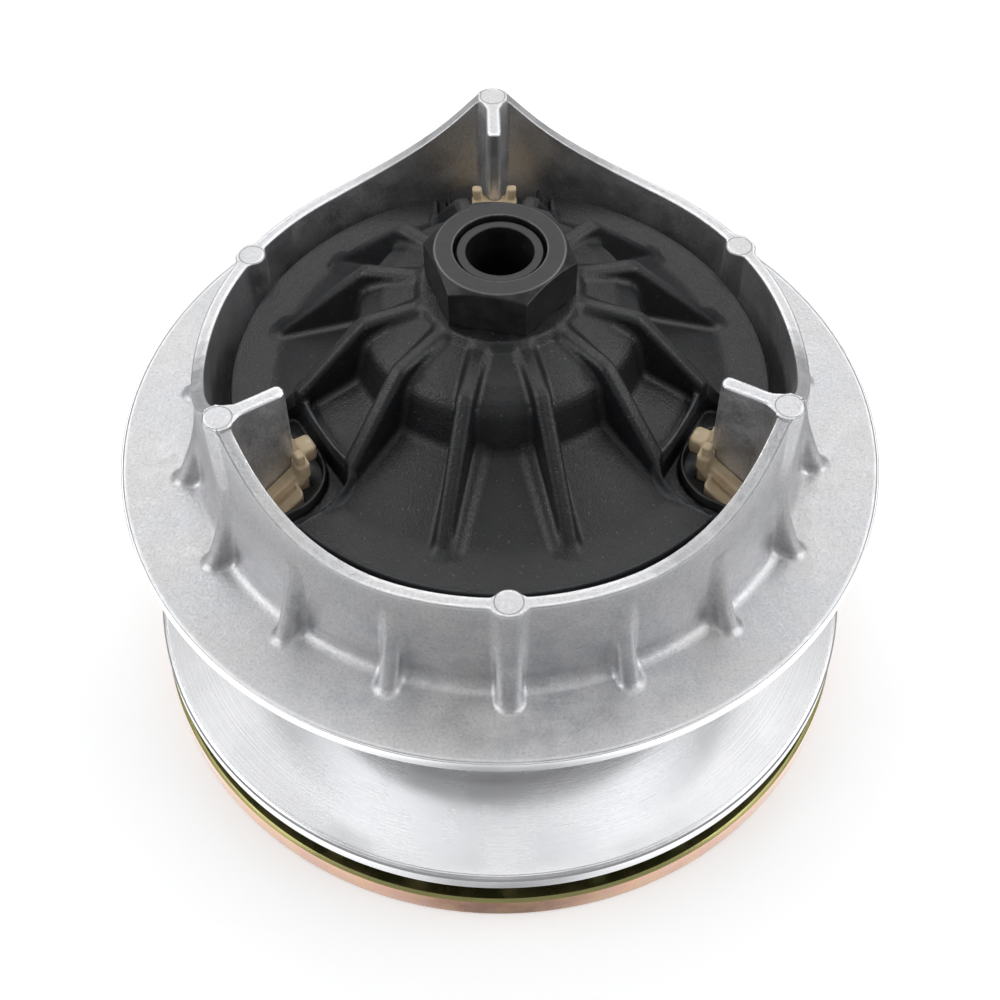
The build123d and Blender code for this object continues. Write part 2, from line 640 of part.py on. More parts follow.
def make_lever_set():
    """One lever with its pins and roller, in the plane y = 0, at rest."""
    tip_r, tip_z = roller_centre(0.0)
    pin_end = LUG_OUT_Y + PIN_END
    lean = math.radians(LEVER_REST_DEG)
    across = (math.sin(lean), math.cos(lean))
    corners = [
        (LEVER_PIVOT_R + across[0] * LEVER_EYE_R, LEVER_PIVOT_Z + across[1] * LEVER_EYE_R),
        (tip_r + across[0] * LEVER_TIP_R, tip_z + across[1] * LEVER_TIP_R),
        (tip_r - across[0] * LEVER_TIP_R, tip_z - across[1] * LEVER_TIP_R),
        (LEVER_PIVOT_R - across[0] * LEVER_EYE_R, LEVER_PIVOT_Z - across[1] * LEVER_EYE_R),
    ]
    thick = LEVER_OUT_Y - LEVER_IN_Y
    middle = (LEVER_OUT_Y + LEVER_IN_Y) / 2
    lever = barrel(LEVER_PIVOT_R, LEVER_PIVOT_Z, LEVER_EYE_R, -LEVER_OUT_Y, LEVER_OUT_Y)
    for side in (-1, 1):
        arm = Pos(0, side * middle, 0) * radial_plate(corners, thick / 2)
        low, high = sorted((side * LEVER_IN_Y, side * LEVER_OUT_Y))
        lever += arm + barrel(tip_r, tip_z, LEVER_TIP_R, low, high)
    lever -= barrel(LEVER_PIVOT_R, LEVER_PIVOT_Z, PIN_R + RUN_FIT, -LUG_OUT_Y, LUG_OUT_Y)
    lever -= barrel(tip_r, tip_z, ROLLER_PIN_R + SEAT_FIT, -LUG_OUT_Y, LUG_OUT_Y)
    roller = barrel(tip_r, tip_z, ROLLER_R, -ROLLER_HALF, ROLLER_HALF)
    roller -= barrel(tip_r, tip_z, ROLLER_PIN_R + RUN_FIT, -LUG_OUT_Y, LUG_OUT_Y)
    return {
        "lever": lever,
        "lever_roller": roller,
        "roller_pin": barrel(tip_r, tip_z, ROLLER_PIN_R, -LEVER_OUT_Y, LEVER_OUT_Y),
        "lever_pin": barrel(LEVER_PIVOT_R, LEVER_PIVOT_Z, PIN_R, -pin_end, pin_end),
    }


def make_pin_clips():
    clip_in = LUG_OUT_Y + RUN_FIT
    clips = []
    for side in (-1, 1):
        low, high = sorted((side * clip_in, side * (clip_in + CLIP_RING_THICK)))
        clip = barrel(LEVER_PIVOT_R, LEVER_PIVOT_Z, CLIP_RING_R, low, high)
        clip -= barrel(LEVER_PIVOT_R, LEVER_PIVOT_Z, PIN_R + SEAT_FIT, low - SINK, high + SINK)
        clips.extend(turned(clip, azimuth) for azimuth in VALLEYS)
    return Compound(clips)


def make_nodes():
    nodes = {
        "fixed_sheave": make_fixed_sheave(),
        "fan_ring": make_fan_ring(),
        "fan_ring_screws": make_fan_ring_screws(),
        "centre_shaft": make_centre_shaft(),
        "sliding_sheave": make_sliding_sheave(),
        "governor_cup": make_governor_cup(),
        "cup_nut": make_cup_nut(),
        "lever_pin_clips": make_pin_clips(),
    }
    nodes.update(make_belt_bearing())
    nodes.update(make_hub_parts())
    guide = make_slider_guide()
    cushion = make_guide_cushion()
    lever_set = make_lever_set()
    for index, azimuth in enumerate(TOWERS, start=1):
        nodes[f"slider_guide_{index}"] = turned(guide, azimuth)
        nodes[f"guide_cushion_{index}"] = turned(cushion, azimuth)
    for index, azimuth in enumerate(VALLEYS, start=1):
        for name, shape in lever_set.items():
            nodes[f"{name}_{index}"] = turned(shape, azimuth)
    return nodes


os.makedirs("parts", exist_ok=True)
for name, shape in make_nodes().items():
    export_step(shape, f"parts/{name}.step")
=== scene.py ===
import json
import math

import bpy
import numpy as np
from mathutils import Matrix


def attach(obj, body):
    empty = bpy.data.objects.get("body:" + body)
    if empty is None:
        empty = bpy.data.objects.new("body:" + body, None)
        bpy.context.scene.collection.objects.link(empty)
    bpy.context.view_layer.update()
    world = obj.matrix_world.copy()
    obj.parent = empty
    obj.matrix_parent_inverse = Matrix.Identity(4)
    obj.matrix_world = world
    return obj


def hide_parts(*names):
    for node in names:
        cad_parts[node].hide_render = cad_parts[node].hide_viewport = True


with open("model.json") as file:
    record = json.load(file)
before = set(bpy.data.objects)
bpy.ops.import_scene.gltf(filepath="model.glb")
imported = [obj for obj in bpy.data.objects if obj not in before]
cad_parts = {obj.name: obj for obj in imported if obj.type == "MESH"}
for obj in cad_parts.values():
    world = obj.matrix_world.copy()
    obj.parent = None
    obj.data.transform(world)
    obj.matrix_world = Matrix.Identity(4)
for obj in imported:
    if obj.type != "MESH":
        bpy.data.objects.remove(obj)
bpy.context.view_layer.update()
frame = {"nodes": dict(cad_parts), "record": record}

# A drive pulley, modelled in millimetres and made in metres, +Z along the shaft.
# Shapes with cast fillets are signed distances, meshed on a grid and settled onto the surface.
MM = 0.001
TOWERS = (90, 210, 330)
VALLEYS = (270, 30, 150)
FLANK = math.tan(math.radians(13))
COARSE = 1.0
PAD_R = 3.65
PAD_CENTRE_R = 75.0
NUT_LOW = 137.8
NUT_TOP = 149.7
LEVER_PIVOT = (65.0, 86.5)


# ---------------------------------------------------------------- distances

def joined(a, b, fillet):
    """Union of two distances with a round fillet in the corner."""
    u = np.maximum(fillet - a, 0)
    v = np.maximum(fillet - b, 0)
    return np.maximum(fillet, np.minimum(a, b)) - np.hypot(u, v)


def common(a, b, edge):
    """Intersection of two distances with a rounded edge."""
    u = np.maximum(edge + a, 0)
    v = np.maximum(edge + b, 0)
    return np.minimum(-edge, np.maximum(a, b)) + np.hypot(u, v)


def less(a, b, edge):
    """What is left of a when b is cut away."""
    return common(a, -b, edge)


def between(value, low, high, edge):
    """The slab in which a value lies between two limits."""
    return common(value - high, low - value, edge)


def outline(x, z, points):
    """Signed distance to a closed outline."""
    near = np.full(x.shape, 1e9, x.dtype)
    inside = np.zeros(x.shape, bool)
    for (x0, z0), (x1, z1) in zip(points, points[1:] + points[:1]):
        ex, ez = x1 - x0, z1 - z0
        wx, wz = x - x0, z - z0
        share = np.clip((wx * ex + wz * ez) / (ex * ex + ez * ez), 0, 1)
        near = np.minimum(near, (wx - ex * share) ** 2 + (wz - ez * share) ** 2)
        if ez != 0:
            crosses = (z0 <= z) != (z1 <= z)
            inside ^= crosses & (x < x0 + (z - z0) * ex / ez)
    return np.sqrt(near) * np.where(inside, -1, 1)


def bar(x, z, a, b, radius):
    """Distance to a round bar's line from a to b, less its radius."""
    ex, ez = b[0] - a[0], b[1] - a[1]
    share = np.clip(((x - a[0]) * ex + (z - a[1]) * ez) / (ex * ex + ez * ez), 0, 1)
    return np.hypot(x - a[0] - ex * share, z - a[1] - ez * share) - radius


def tub(x, y, centre, half):
    """Distance to a U outline open towards +x, its round end inwards."""
    return np.where(x < centre, np.hypot(x - centre, y), np.abs(y)) - half


def polar(x, y, count, first):
    """Coordinates along and across the nearest of some evenly spaced rays."""
    radius = np.hypot(x, y)
    step = 2 * math.pi / count
    angle = np.arctan2(y, x) - math.radians(first)
    angle = (angle + step / 2) % step - step / 2
    return radius * np.cos(angle), radius * np.sin(angle)


# ---------------------------------------------------------------- meshing

def net(values, wraps):
    """Surface nets: a vertex in each crossed cell and a quad on each crossed grid edge."""
    if wraps:
        values = np.concatenate([values, values[:, :1]], 1)
    size = [n - 1 for n in values.shape]
    inside = values < 0
    votes = np.zeros(size, np.uint8)
    corners = [(i, j, k) for i in (0, 1) for j in (0, 1) for k in (0, 1)]
    for i, j, k in corners:
        votes += inside[i:size[0] + i, j:size[1] + j, k:size[2] + k]
    cells = np.argwhere((votes > 0) & (votes < 8))
    at = {c: values[tuple((cells + c).T)] for c in corners}
    place = np.zeros((len(cells), 3))
    count = np.zeros(len(cells))
    for start in corners:
        for axis in range(3):
            if start[axis]:
                continue
            end = tuple(1 if n == axis else start[n] for n in range(3))
            hit = (at[start] < 0) != (at[end] < 0)
            share = np.where(hit, at[start] / np.where(hit, at[start] - at[end], 1), 0)
            for n in range(3):
                place[:, n] += share if n == axis else hit * start[n]
            count += hit
    number = np.full(size, -1)
    number[tuple(cells.T)] = np.arange(len(cells))
    quads = []
    for axis in range(3):
        low = [slice(None)] * 3
        high = [slice(None)] * 3
        low[axis] = slice(0, -1)
        high[axis] = slice(1, None)
        if wraps and axis != 1:
            low[1] = high[1] = slice(0, -1)
        a, b = inside[tuple(low)], inside[tuple(high)]
        edges = np.argwhere(a != b)
        ring = []
        for du, dv in ((-1, -1), (0, -1), (0, 0), (-1, 0)):
            cell = edges.copy()
            cell[:, (axis + 1) % 3] += du
            cell[:, (axis + 2) % 3] += dv
            if wraps:
                cell[:, 1] %= size[1]
            ring.append(number[tuple(cell.T)])
        quad = np.stack(ring, 1)
        inward = ~a[tuple(edges.T)]
        quad[inward] = quad[inward][:, ::-1]
        quads.append(quad)
    return cells + place / count[:, None], np.concatenate(quads)


def slope(shape, points, reach=0.04):
    """Unit outward direction of a distance at some points."""
    rise = np.empty_like(points)
    for n in range(3):
        step = np.zeros(3)
        step[n] = reach
        rise[:, n] = shape(*(points + step).T) - shape(*(points - step).T)
    return rise / np.maximum(np.linalg.norm(rise, axis=1, keepdims=True), 1e-9)


def steps(*stretches):
    """Grid lines through some stretches of (low, high, cell), evenly spaced in each."""
    lines = [np.linspace(a, b, int((b - a) / cell) + 2)[:-1] for a, b, cell in stretches]
    return np.concatenate([*lines, [stretches[-1][1]]])


def settled(shape, points, reach, rounds=3):
    """Points moved onto the surface along its slope."""
    nudge = 0.03
    for _ in range(rounds):
        here = shape(*points.T)
        rise = np.stack([shape(*(points + nudge * unit).T) - here for unit in np.eye(3)], 1)
        rise /= np.maximum(np.linalg.norm(rise, axis=1, keepdims=True), 1e-9)
        points = points - rise * np.clip(here, -reach, reach)[:, None]
    return points


def build(name, points, faces, normals=None, marks=None):
    """A mesh object from points in millimetres."""
    mesh = bpy.data.meshes.new(name)
    mesh.from_pydata((np.asarray(points) * MM).tolist(), [], [list(f) for f in faces])
    mesh.update()
    for mark, values in (marks or {}).items():
        layer = mesh.attributes.new(mark, "FLOAT", "POINT")
        layer.data.foreach_set("value", np.asarray(values, np.float32))
    mesh.polygons.foreach_set("use_smooth", [True] * len(mesh.polygons))
    if normals is not None:
        mesh.normals_split_custom_set_from_vertices(normals.tolist())
    obj = bpy.data.objects.new(name, mesh)
    bpy.context.scene.collection.objects.link(obj)
    return obj


def marks_of(shape, points, normals, reach):
    """How far each point lies on an outer edge or in an inner corner, 0 to 1."""
    under = shape(*(points - normals * reach).T)
    over = shape(*(points + normals * reach).T)
    return {"edge": np.clip(1 + under / reach, 0, 1), "hollow": np.clip(1 - over / reach, 0, 1)}


def cast_round(name, shape, radii, heights, count, reach=1.6, lift=None):
    """A casting about Z that repeats, mirrored, every 60 degrees from the first tower."""
    lift = lift or (lambda x, y, z: z)
    part = count // 6
    angles = math.radians(TOWERS[0]) + (np.arange(count) + 0.5) * 2 * math.pi / count
    r, a, z = np.meshgrid(radii, angles[:part], heights, indexing="ij")
    x, y = r * np.cos(a), r * np.sin(a)
    sixth = shape(x, y, lift(x, y, z))
    third = np.concatenate([sixth, sixth[:, ::-1]], 1)
    place, faces = net(np.concatenate([third] * 3, 1), True)
    r = np.interp(place[:, 0], np.arange(len(radii)), radii)
    a = angles[0] + place[:, 1] * 2 * math.pi / count
    z = np.interp(place[:, 2], np.arange(len(heights)), heights)
    x, y = r * np.cos(a), r * np.sin(a)
    return finished(name, shape, np.stack([x, y, lift(x, y, z)], 1), faces, reach)


def cast_block(name, shape, low, high, cell, reach=0.8):
    """A part in a box, on an even grid."""
    axes = [np.arange(a - cell, b + 2 * cell, cell) for a, b in zip(low, high)]
    place, faces = net(shape(*np.meshgrid(*axes, indexing="ij")), False)
    points = np.stack([np.interp(place[:, n], np.arange(len(axes[n])), axes[n]) for n in range(3)], 1)
    return finished(name, shape, points, faces, reach)


def finished(name, shape, points, faces, reach):
    """A meshed distance settled on its surface, with its normals and its edge and hollow marks."""
    points = settled(shape, points, 0.25)
    normals = slope(shape, points)
    return build(name, points, faces, normals, marks_of(shape, points, normals, reach))


def turned_copy(obj, name, degrees):
    """A copy of a piece turned about Z, with its normals turned too."""
    other = obj.copy()
    other.data = obj.data.copy()
    other.name = other.data.name = name
    bpy.context.scene.collection.objects.link(other)
    turn = math.radians(degrees)
    cos, sin = math.cos(turn), math.sin(turn)
    spin = np.array([[cos, -sin, 0], [sin, cos, 0], [0, 0, 1]])
    size = len(other.data.vertices)
    points = np.empty(size * 3)
    normals = np.array([v.normal[:] for v in other.data.vertices])
    other.data.vertices.foreach_get("co", points)
    other.data.vertices.foreach_set("co", (points.reshape(-1, 3) @ spin.T).ravel())
    other.data.update()
    other.data.normals_split_custom_set_from_vertices((normals @ spin.T).tolist())
    return other


def corner(points, radius, pieces=4):
    """A closed (radius, height) outline with each corner rounded; a third value is a corner's own radius."""
    result = []
    for n, here in enumerate(points):
        before = np.array(points[n - 1], float)
        after = np.array(points[(n + 1) % len(points)], float)
        here = np.array(here[:2], float)
        before, after = before[:2], after[:2]
        size = points[n][2] if len(points[n]) > 2 else radius
        a, b = before - here, after - here
        la, lb = np.linalg.norm(a), np.linalg.norm(b)
        a, b = a / la, b / lb
        half = math.acos(np.clip(a @ b, -1, 1)) / 2
        back = min(size / math.tan(half), la * 0.48, lb * 0.48) if half > 0.02 else 0
        if size <= 0 or back < 1e-4 or half > 1.55:
            result.append(tuple(here))
            continue
        for k in range(pieces + 1):
            t = k / pieces
            spot = (1 - t) ** 2 * (here + a * back) + 2 * t * (1 - t) * here + t * t * (here + b * back)
            result.append(tuple(spot))
    return result


def lathe(name, points, count=288, radius=0.3, sharp=40):
    """A solid of revolution about Z from a closed outline, anticlockwise in (radius, height)."""
    section = corner(points, radius)
    a = np.arange(count) * 2 * math.pi / count
    rows = len(section)
    r = np.array([p[0] for p in section])
    z = np.array([p[1] for p in section])
    place = np.stack([np.outer(np.cos(a), r), np.outer(np.sin(a), r), np.outer(np.ones(count), z)], 2)
    i, j = np.meshgrid(np.arange(count), np.arange(rows), indexing="ij")
    i, j = i.ravel(), j.ravel()
    k, m = (i + 1) % count, (j + 1) % rows
    faces = np.stack([i * rows + j, k * rows + j, k * rows + m, i * rows + m], 1)
    obj = build(name, place.reshape(-1, 3), faces)
    obj.data.set_sharp_from_angle(angle=math.radians(sharp))
    return obj


# ---------------------------------------------------------------- materials

class Paint:
    """A small builder for a procedural material around one Principled shader."""

    def __init__(self, name, **sockets):
        self.material = bpy.data.materials.new(name)
        self.material.use_nodes = True
        self.tree = self.material.node_tree
        self.shader = self.tree.nodes["Principled BSDF"]
        for socket, value in sockets.items():
            self.shader.inputs[socket.replace("_", " ")].default_value = value
        self.place = self.tree.nodes.new("ShaderNodeTexCoord").outputs["Object"]
        self.height = None

    def node(self, kind, **settings):
        made = self.tree.nodes.new("ShaderNode" + kind)
        for key, value in settings.items():
            setattr(made, key, value)
        return made

    def put(self, socket, value):
        if isinstance(value, bpy.types.NodeSocket):
            self.tree.links.new(value, socket)
        else:
            socket.default_value = value

    def noise(self, size_mm, detail=3.0, rough=0.55, stretch=None):
        """Noise from 0 to 1 with features about size_mm across."""
        made = self.node("TexNoise")
        self.put(made.inputs["Vector"], self.scaled(stretch) if stretch else self.place)
        made.inputs["Scale"].default_value = 1 / (size_mm * MM)
        made.inputs["Detail"].default_value = detail
        made.inputs["Roughness"].default_value = rough
        return made.outputs["Fac"]

    def scaled(self, stretch):
        made = self.node("Mapping")
        self.put(made.inputs["Vector"], self.place)
        made.inputs["Scale"].default_value = stretch
        return made.outputs["Vector"]

    def math(self, operation, a, b=0.0):
        made = self.node("Math", operation=operation)
        self.put(made.inputs[0], a)
        self.put(made.inputs[1], b)
        return made.outputs[0]

    def remap(self, value, low, high, out_low=0.0, out_high=1.0):
        made = self.node("MapRange", interpolation_type="SMOOTHSTEP")
        for socket, given in zip(made.inputs, (value, low, high, out_low, out_high)):
            self.put(socket, given)
        return made.outputs[0]

    def mix(self, share, a, b):
        made = self.node("Mix", data_type="RGBA")
        self.put(made.inputs[0], share)
        self.put(made.inputs[6], (*a, 1) if isinstance(a, tuple) else a)
        self.put(made.inputs[7], (*b, 1) if isinstance(b, tuple) else b)
        return made.outputs[2]

    def mark(self, name):
        return self.node("Attribute", attribute_name=name).outputs["Fac"]

    def nearest(self, centres):
        """Distance in plan to the nearest of some points in millimetres."""
        flat = self.scaled((1, 1, 0))
        near = None
        for x, y in centres:
            made = self.node("VectorMath", operation="DISTANCE")
            self.put(made.inputs[0], flat)
            made.inputs[1].default_value = (x * MM, y * MM, 0)
            gap = made.outputs["Value"]
            near = gap if near is None else self.math("MINIMUM", near, gap)
        return near

    def position(self):
        """Radius and height in metres."""
        split = self.node("SeparateXYZ")
        self.put(split.inputs[0], self.place)
        x, y, z = split.outputs
        square = self.math("ADD", self.math("MULTIPLY", x, x), self.math("MULTIPLY", y, y))
        return self.math("SQRT", square), z

    def bump(self, height, depth_mm, strength=1.0):
        """Adds relief depth_mm deep where height runs from 0 to 1."""
        made = self.node("Bump")
        made.inputs["Strength"].default_value = strength
        made.inputs["Distance"].default_value = depth_mm * MM
        self.put(made.inputs["Height"], height)
        if self.height is not None:
            self.put(made.inputs["Normal"], self.height)
        self.height = made.outputs[0]

    def done(self, colour=None, rough=None, metal=None):
        for socket, value in (("Base Color", colour), ("Roughness", rough), ("Metallic", metal)):
            if value is not None:
                self.put(self.shader.inputs[socket], value)
        if self.height is not None:
            self.put(self.shader.inputs["Normal"], self.height)
        return self.material


def cast_aluminium():
    p = Paint("cast_aluminium")
    grain = p.noise(0.45, 2, 0.6)
    speck = p.noise(0.8, 3, 0.65)
    mottle = p.noise(7, 5, 0.65)
    smear = p.noise(22, 3, 0.5)
    edge = p.mark("edge")
    hollow = p.mark("hollow")
    colour = p.mix(p.remap(mottle, 0.3, 0.7), (0.58, 0.585, 0.61), (0.74, 0.74, 0.75))
    colour = p.mix(p.remap(smear, 0.35, 0.65, 0, 0.5), colour, (0.69, 0.68, 0.67))
    colour = p.mix(p.remap(speck, 0.50, 0.70, 0, 0.4), colour, (0.44, 0.44, 0.46))
    colour = p.mix(p.remap(speck, 0.50, 0.32, 0, 0.3), colour, (0.86, 0.86, 0.87))
    colour = p.mix(p.remap(edge, 0.2, 0.65, 0, 0.6), colour, (0.88, 0.88, 0.89))
    # Painted shade: inner corners and fillets are darkened towards a dull grey
    colour = p.mix(p.remap(hollow, 0.5, 1.0, 0, 0.45), colour, (0.38, 0.38, 0.40))
    pads = [
        (PAD_CENTRE_R * math.cos(math.radians(a)), PAD_CENTRE_R * math.sin(math.radians(a)))
        for a in (*TOWERS, *VALLEYS)
    ]
    gap = p.math("ABSOLUTE", p.math("SUBTRACT", p.nearest(pads), (PAD_R - 0.3) * MM))
    split = p.node("SeparateXYZ")
    p.put(split.inputs[0], p.node("NewGeometry").outputs["Normal"])
    level = p.remap(split.outputs[2], 0.75, 0.9)
    circle = p.math("MULTIPLY", p.remap(gap, 0.08 * MM, 0.24 * MM, 1, 0), level)
    colour = p.mix(p.math("MULTIPLY", circle, 0.6), colour, (0.14, 0.14, 0.15))
    rough = p.remap(mottle, 0.3, 0.7, 0.40, 0.54)
    rough = p.math("ADD", rough, p.remap(grain, 0.35, 0.65, -0.05, 0.06))
    rough = p.math("SUBTRACT", rough, p.remap(edge, 0.2, 0.7, 0, 0.1))
    p.bump(grain, 0.06)
    p.bump(speck, 0.07)
    return p.done(colour, rough, 0.92)


def turned_aluminium():
    p = Paint("turned_aluminium")
    radius, height = p.position()
    lines = p.node("TexNoise", noise_dimensions="1D")
    p.put(lines.inputs["W"], p.math("ADD", radius, height))
    lines.inputs["Scale"].default_value = 1 / (0.35 * MM)
    lines.inputs["Detail"].default_value = 3
    cloud = p.noise(14, 3, 0.5)
    colour = p.mix(p.remap(cloud, 0.3, 0.7), (0.90, 0.90, 0.91), (0.95, 0.95, 0.96))
    rough = p.remap(cloud, 0.3, 0.7, 0.22, 0.28)
    rough = p.math("ADD", rough, p.remap(lines.outputs[0], 0.3, 0.7, -0.02, 0.03))
    p.bump(lines.outputs[0], 0.0015)
    p.shader.inputs["Anisotropic"].default_value = 0.85
    tangent = p.node("Tangent", direction_type="RADIAL", axis="Z")
    p.put(p.shader.inputs["Tangent"], tangent.outputs[0])
    return p.done(colour, rough, 1.0)


def zinc_yellow():
    p = Paint("zinc_yellow")
    cloud = p.noise(9, 4, 0.6)
    streak = p.noise(3.5, 4, 0.6, (1, 1, 0.15))
    normal = p.node("NewGeometry").outputs["Normal"]
    split = p.node("SeparateXYZ")
    p.put(split.inputs[0], normal)
    up = split.outputs[2]
    side = p.mix(p.remap(cloud, 0.35, 0.65), (0.56, 0.30, 0.21), (0.63, 0.39, 0.23))
    side = p.mix(p.remap(streak, 0.45, 0.75, 0, 0.5), side, (0.52, 0.34, 0.30))
    slant = p.mix(p.remap(cloud, 0.35, 0.65), (0.62, 0.60, 0.24), (0.56, 0.52, 0.22))
    # Painted shade: faces that point up get this dark olive, standing for the shadow under the fixed sheave
    top = p.mix(p.remap(cloud, 0.3, 0.7), (0.13, 0.135, 0.05), (0.20, 0.17, 0.07))
    colour = p.mix(p.remap(up, 0.15, 0.55), side, slant)
    colour = p.mix(p.remap(up, 0.8, 0.97), colour, top)
    p.bump(p.noise(0.5, 2, 0.5), 0.008)
    return p.done(colour, p.remap(cloud, 0.3, 0.7, 0.22, 0.34), 0.95)


def black_casting():
    p = Paint("black_casting", Specular_IOR_Level=0.7)
    grain = p.noise(0.6, 3, 0.65)
    cloud = p.noise(6, 4, 0.6)
    specks = p.noise(0.8, 1, 0.5)
    edge = p.mark("edge")
    hollow = p.mark("hollow")
    worn = p.math("MULTIPLY", p.remap(edge, 0.15, 0.6), p.remap(cloud, 0.25, 0.65, 0.4, 1.0))
    colour = p.mix(p.remap(cloud, 0.3, 0.7), (0.0045, 0.005, 0.0064), (0.008, 0.0086, 0.0102))
    colour = p.mix(p.math("MULTIPLY", worn, 0.6), colour, (0.085, 0.09, 0.098))
    colour = p.mix(p.remap(specks, 0.70, 0.76, 0, 0.5), colour, (0.13, 0.12, 0.11))
    # Painted shade: inner corners are pulled towards flat black, dimming the specks and lighter crests there
    colour = p.mix(p.remap(hollow, 0.5, 1.0, 0, 0.5), colour, (0.009, 0.009, 0.010))
    rough = p.remap(grain, 0.3, 0.7, 0.33, 0.50)
    rough = p.math("SUBTRACT", rough, p.math("MULTIPLY", worn, 0.08))
    p.bump(grain, 0.16)
    p.bump(p.noise(2.6, 3, 0.6), 0.10)
    return p.done(colour, rough, 0.0)


def plain_finish(name, dark, light, rough_low, rough_high, grain_mm, depth, metal=1.0):
    p = Paint(name)
    grain = p.noise(grain_mm, 3, 0.6)
    cloud = p.noise(5, 4, 0.6)
    colour = p.mix(p.remap(cloud, 0.3, 0.7), dark, light)
    rough = p.remap(cloud, 0.3, 0.7, rough_low, rough_high)
    p.bump(grain, depth)
    return p.done(colour, rough, metal)


def black_steel():
    p = Paint("black_steel")
    grain = p.noise(0.4, 3, 0.6)
    cloud = p.noise(4, 4, 0.65)
    edge = p.mark("edge")
    colour = p.mix(p.remap(cloud, 0.3, 0.7), (0.034, 0.034, 0.036), (0.056, 0.054, 0.054))
    rust = p.remap(p.noise(1.3, 5, 0.7), 0.58, 0.70, 0, 0.7)
    radius, height = p.position()
    low = p.remap(height, NUT_LOW * MM, (NUT_LOW + 2.4) * MM, 1, 0)
    colour = p.mix(p.math("MULTIPLY", rust, low), colour, (0.20, 0.17, 0.14))
    colour = p.mix(p.remap(edge, 0.25, 0.7, 0, 0.75), colour, (0.20, 0.195, 0.19))
    face_line = p.math("ABSOLUTE", p.math("SUBTRACT", radius, 15.4 * MM))
    face_line = p.remap(face_line, 0.1 * MM, 0.35 * MM, 1, 0)
    top = p.remap(height, (NUT_TOP - 0.7) * MM, (NUT_TOP - 0.3) * MM)
    face_line = p.math("MULTIPLY", face_line, top)
    colour = p.mix(p.math("MULTIPLY", face_line, 0.5), colour, (0.22, 0.22, 0.22))
    rough = p.remap(cloud, 0.3, 0.7, 0.28, 0.42)
    p.bump(grain, 0.02)
    p.bump(p.noise(3, 2, 0.5), 0.04)
    return p.done(colour, rough, 0.75)


def tan_nylon():
    p = Paint("tan_nylon", Specular_IOR_Level=0.4)
    grain = p.noise(0.3, 2, 0.6)
    cloud = p.noise(4, 4, 0.6)
    edge = p.mark("edge")
    colour = p.mix(p.remap(cloud, 0.3, 0.7), (0.52, 0.40, 0.25), (0.64, 0.51, 0.34))
    colour = p.mix(p.remap(edge, 0.3, 0.8, 0, 0.5), colour, (0.76, 0.65, 0.47))
    p.bump(grain, 0.02)
    return p.done(colour, p.remap(cloud, 0.3, 0.7, 0.42, 0.55), 0.0)


def black_rubber():
    p = Paint("black_rubber")
    cloud = p.noise(3, 3, 0.6)
    colour = p.mix(p.remap(cloud, 0.3, 0.7), (0.012, 0.012, 0.012), (0.022, 0.022, 0.023))
    p.bump(p.noise(0.5, 2, 0.5), 0.02)
    return p.done(colour, p.remap(cloud, 0.3, 0.7, 0.35, 0.5), 0.0)


LOOKS = {
    "cast_aluminium": cast_aluminium(),
    "turned_aluminium": turned_aluminium(),
    "zinc_yellow": zinc_yellow(),
    "black_casting": black_casting(),
    "black_steel": black_steel(),
    "bright_steel": plain_finish(
        "bright_steel", (0.55, 0.55, 0.56), (0.66, 0.66, 0.67), 0.2, 0.32, 0.5, 0.01
    ),
    "spring_steel": plain_finish(
        "spring_steel", (0.20, 0.20, 0.21), (0.30, 0.30, 0.31), 0.3, 0.42, 0.6, 0.02
    ),
    "bush_polymer": plain_finish(
        "bush_polymer", (0.05, 0.045, 0.04), (0.09, 0.08, 0.07), 0.4, 0.55, 0.4, 0.02, 0.0
    ),
    "tan_nylon": tan_nylon(),
    "black_rubber": black_rubber(),
}


def dress(obj, look, body, *replaced):
    """Gives a new piece its finish and its body, and hides the CAD nodes it stands for."""
    obj.data.materials.clear()
    obj.data.materials.append(LOOKS[look])
    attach(obj, body)
    if replaced:
        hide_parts(*replaced)
    return obj


for row in frame["record"]["subparts"]:
    node = frame["nodes"][row["node"]]
    node.data.materials.clear()
    node.data.materials.append(LOOKS[row["material_slot"]])


# ---------------------------------------------------------------- sliding sheave

FLANGE_TOP = 84.0
FLANGE_LOW = 80.5
RIM_R = 100.0
TOWER_Z = 134.5
VALLEY_Z = 113.2
PLATE = 6.5
SKIN = 0.6


def face_z(radius):
    """Height of the sliding sheave's belt face."""
    return FLANGE_LOW - (RIM_R - radius) * FLANK


CREST_HALF_TOP = 3.4
CREST_ARC_R = 55.0
CREST_KNEE = CREST_HALF_TOP + TOWER_Z - VALLEY_Z - CREST_ARC_R * (1 - math.sqrt(0.5))
CREST_FOOT = CREST_KNEE + CREST_ARC_R * math.sqrt(0.5)
LIFT_FROM = 90.0
# Where the crest's outline runs on past the casting, across and below
CREST_SPAN = (-9.0, 95.0)
CREST_LOW = 55.0


def crest_line():
    """Half of a tower's outline: flat top, 45 degree flank, concave arc, valley floor."""
    first, last = CREST_SPAN
    turn = np.radians(np.arange(45, 0, -5))
    arc = zip(CREST_FOOT - CREST_ARC_R * np.sin(turn), VALLEY_Z + CREST_ARC_R * (1 - np.cos(turn)))
    top = [(first, TOWER_Z), (CREST_HALF_TOP, TOWER_Z), *arc, (CREST_FOOT, VALLEY_Z), (last, VALLEY_Z)]
    return top + [(last, CREST_LOW), (first, CREST_LOW)]


def crest_height(t):
    """Height of the wall's crest at a distance from the middle of its tower."""
    flank = TOWER_Z - np.maximum(t - CREST_HALF_TOP, 0)
    run = np.clip(CREST_FOOT - t, 0, CREST_ARC_R)
    arc = VALLEY_Z + CREST_ARC_R - np.sqrt(CREST_ARC_R ** 2 - run ** 2)
    return np.where(t < CREST_KNEE, flank, arc)


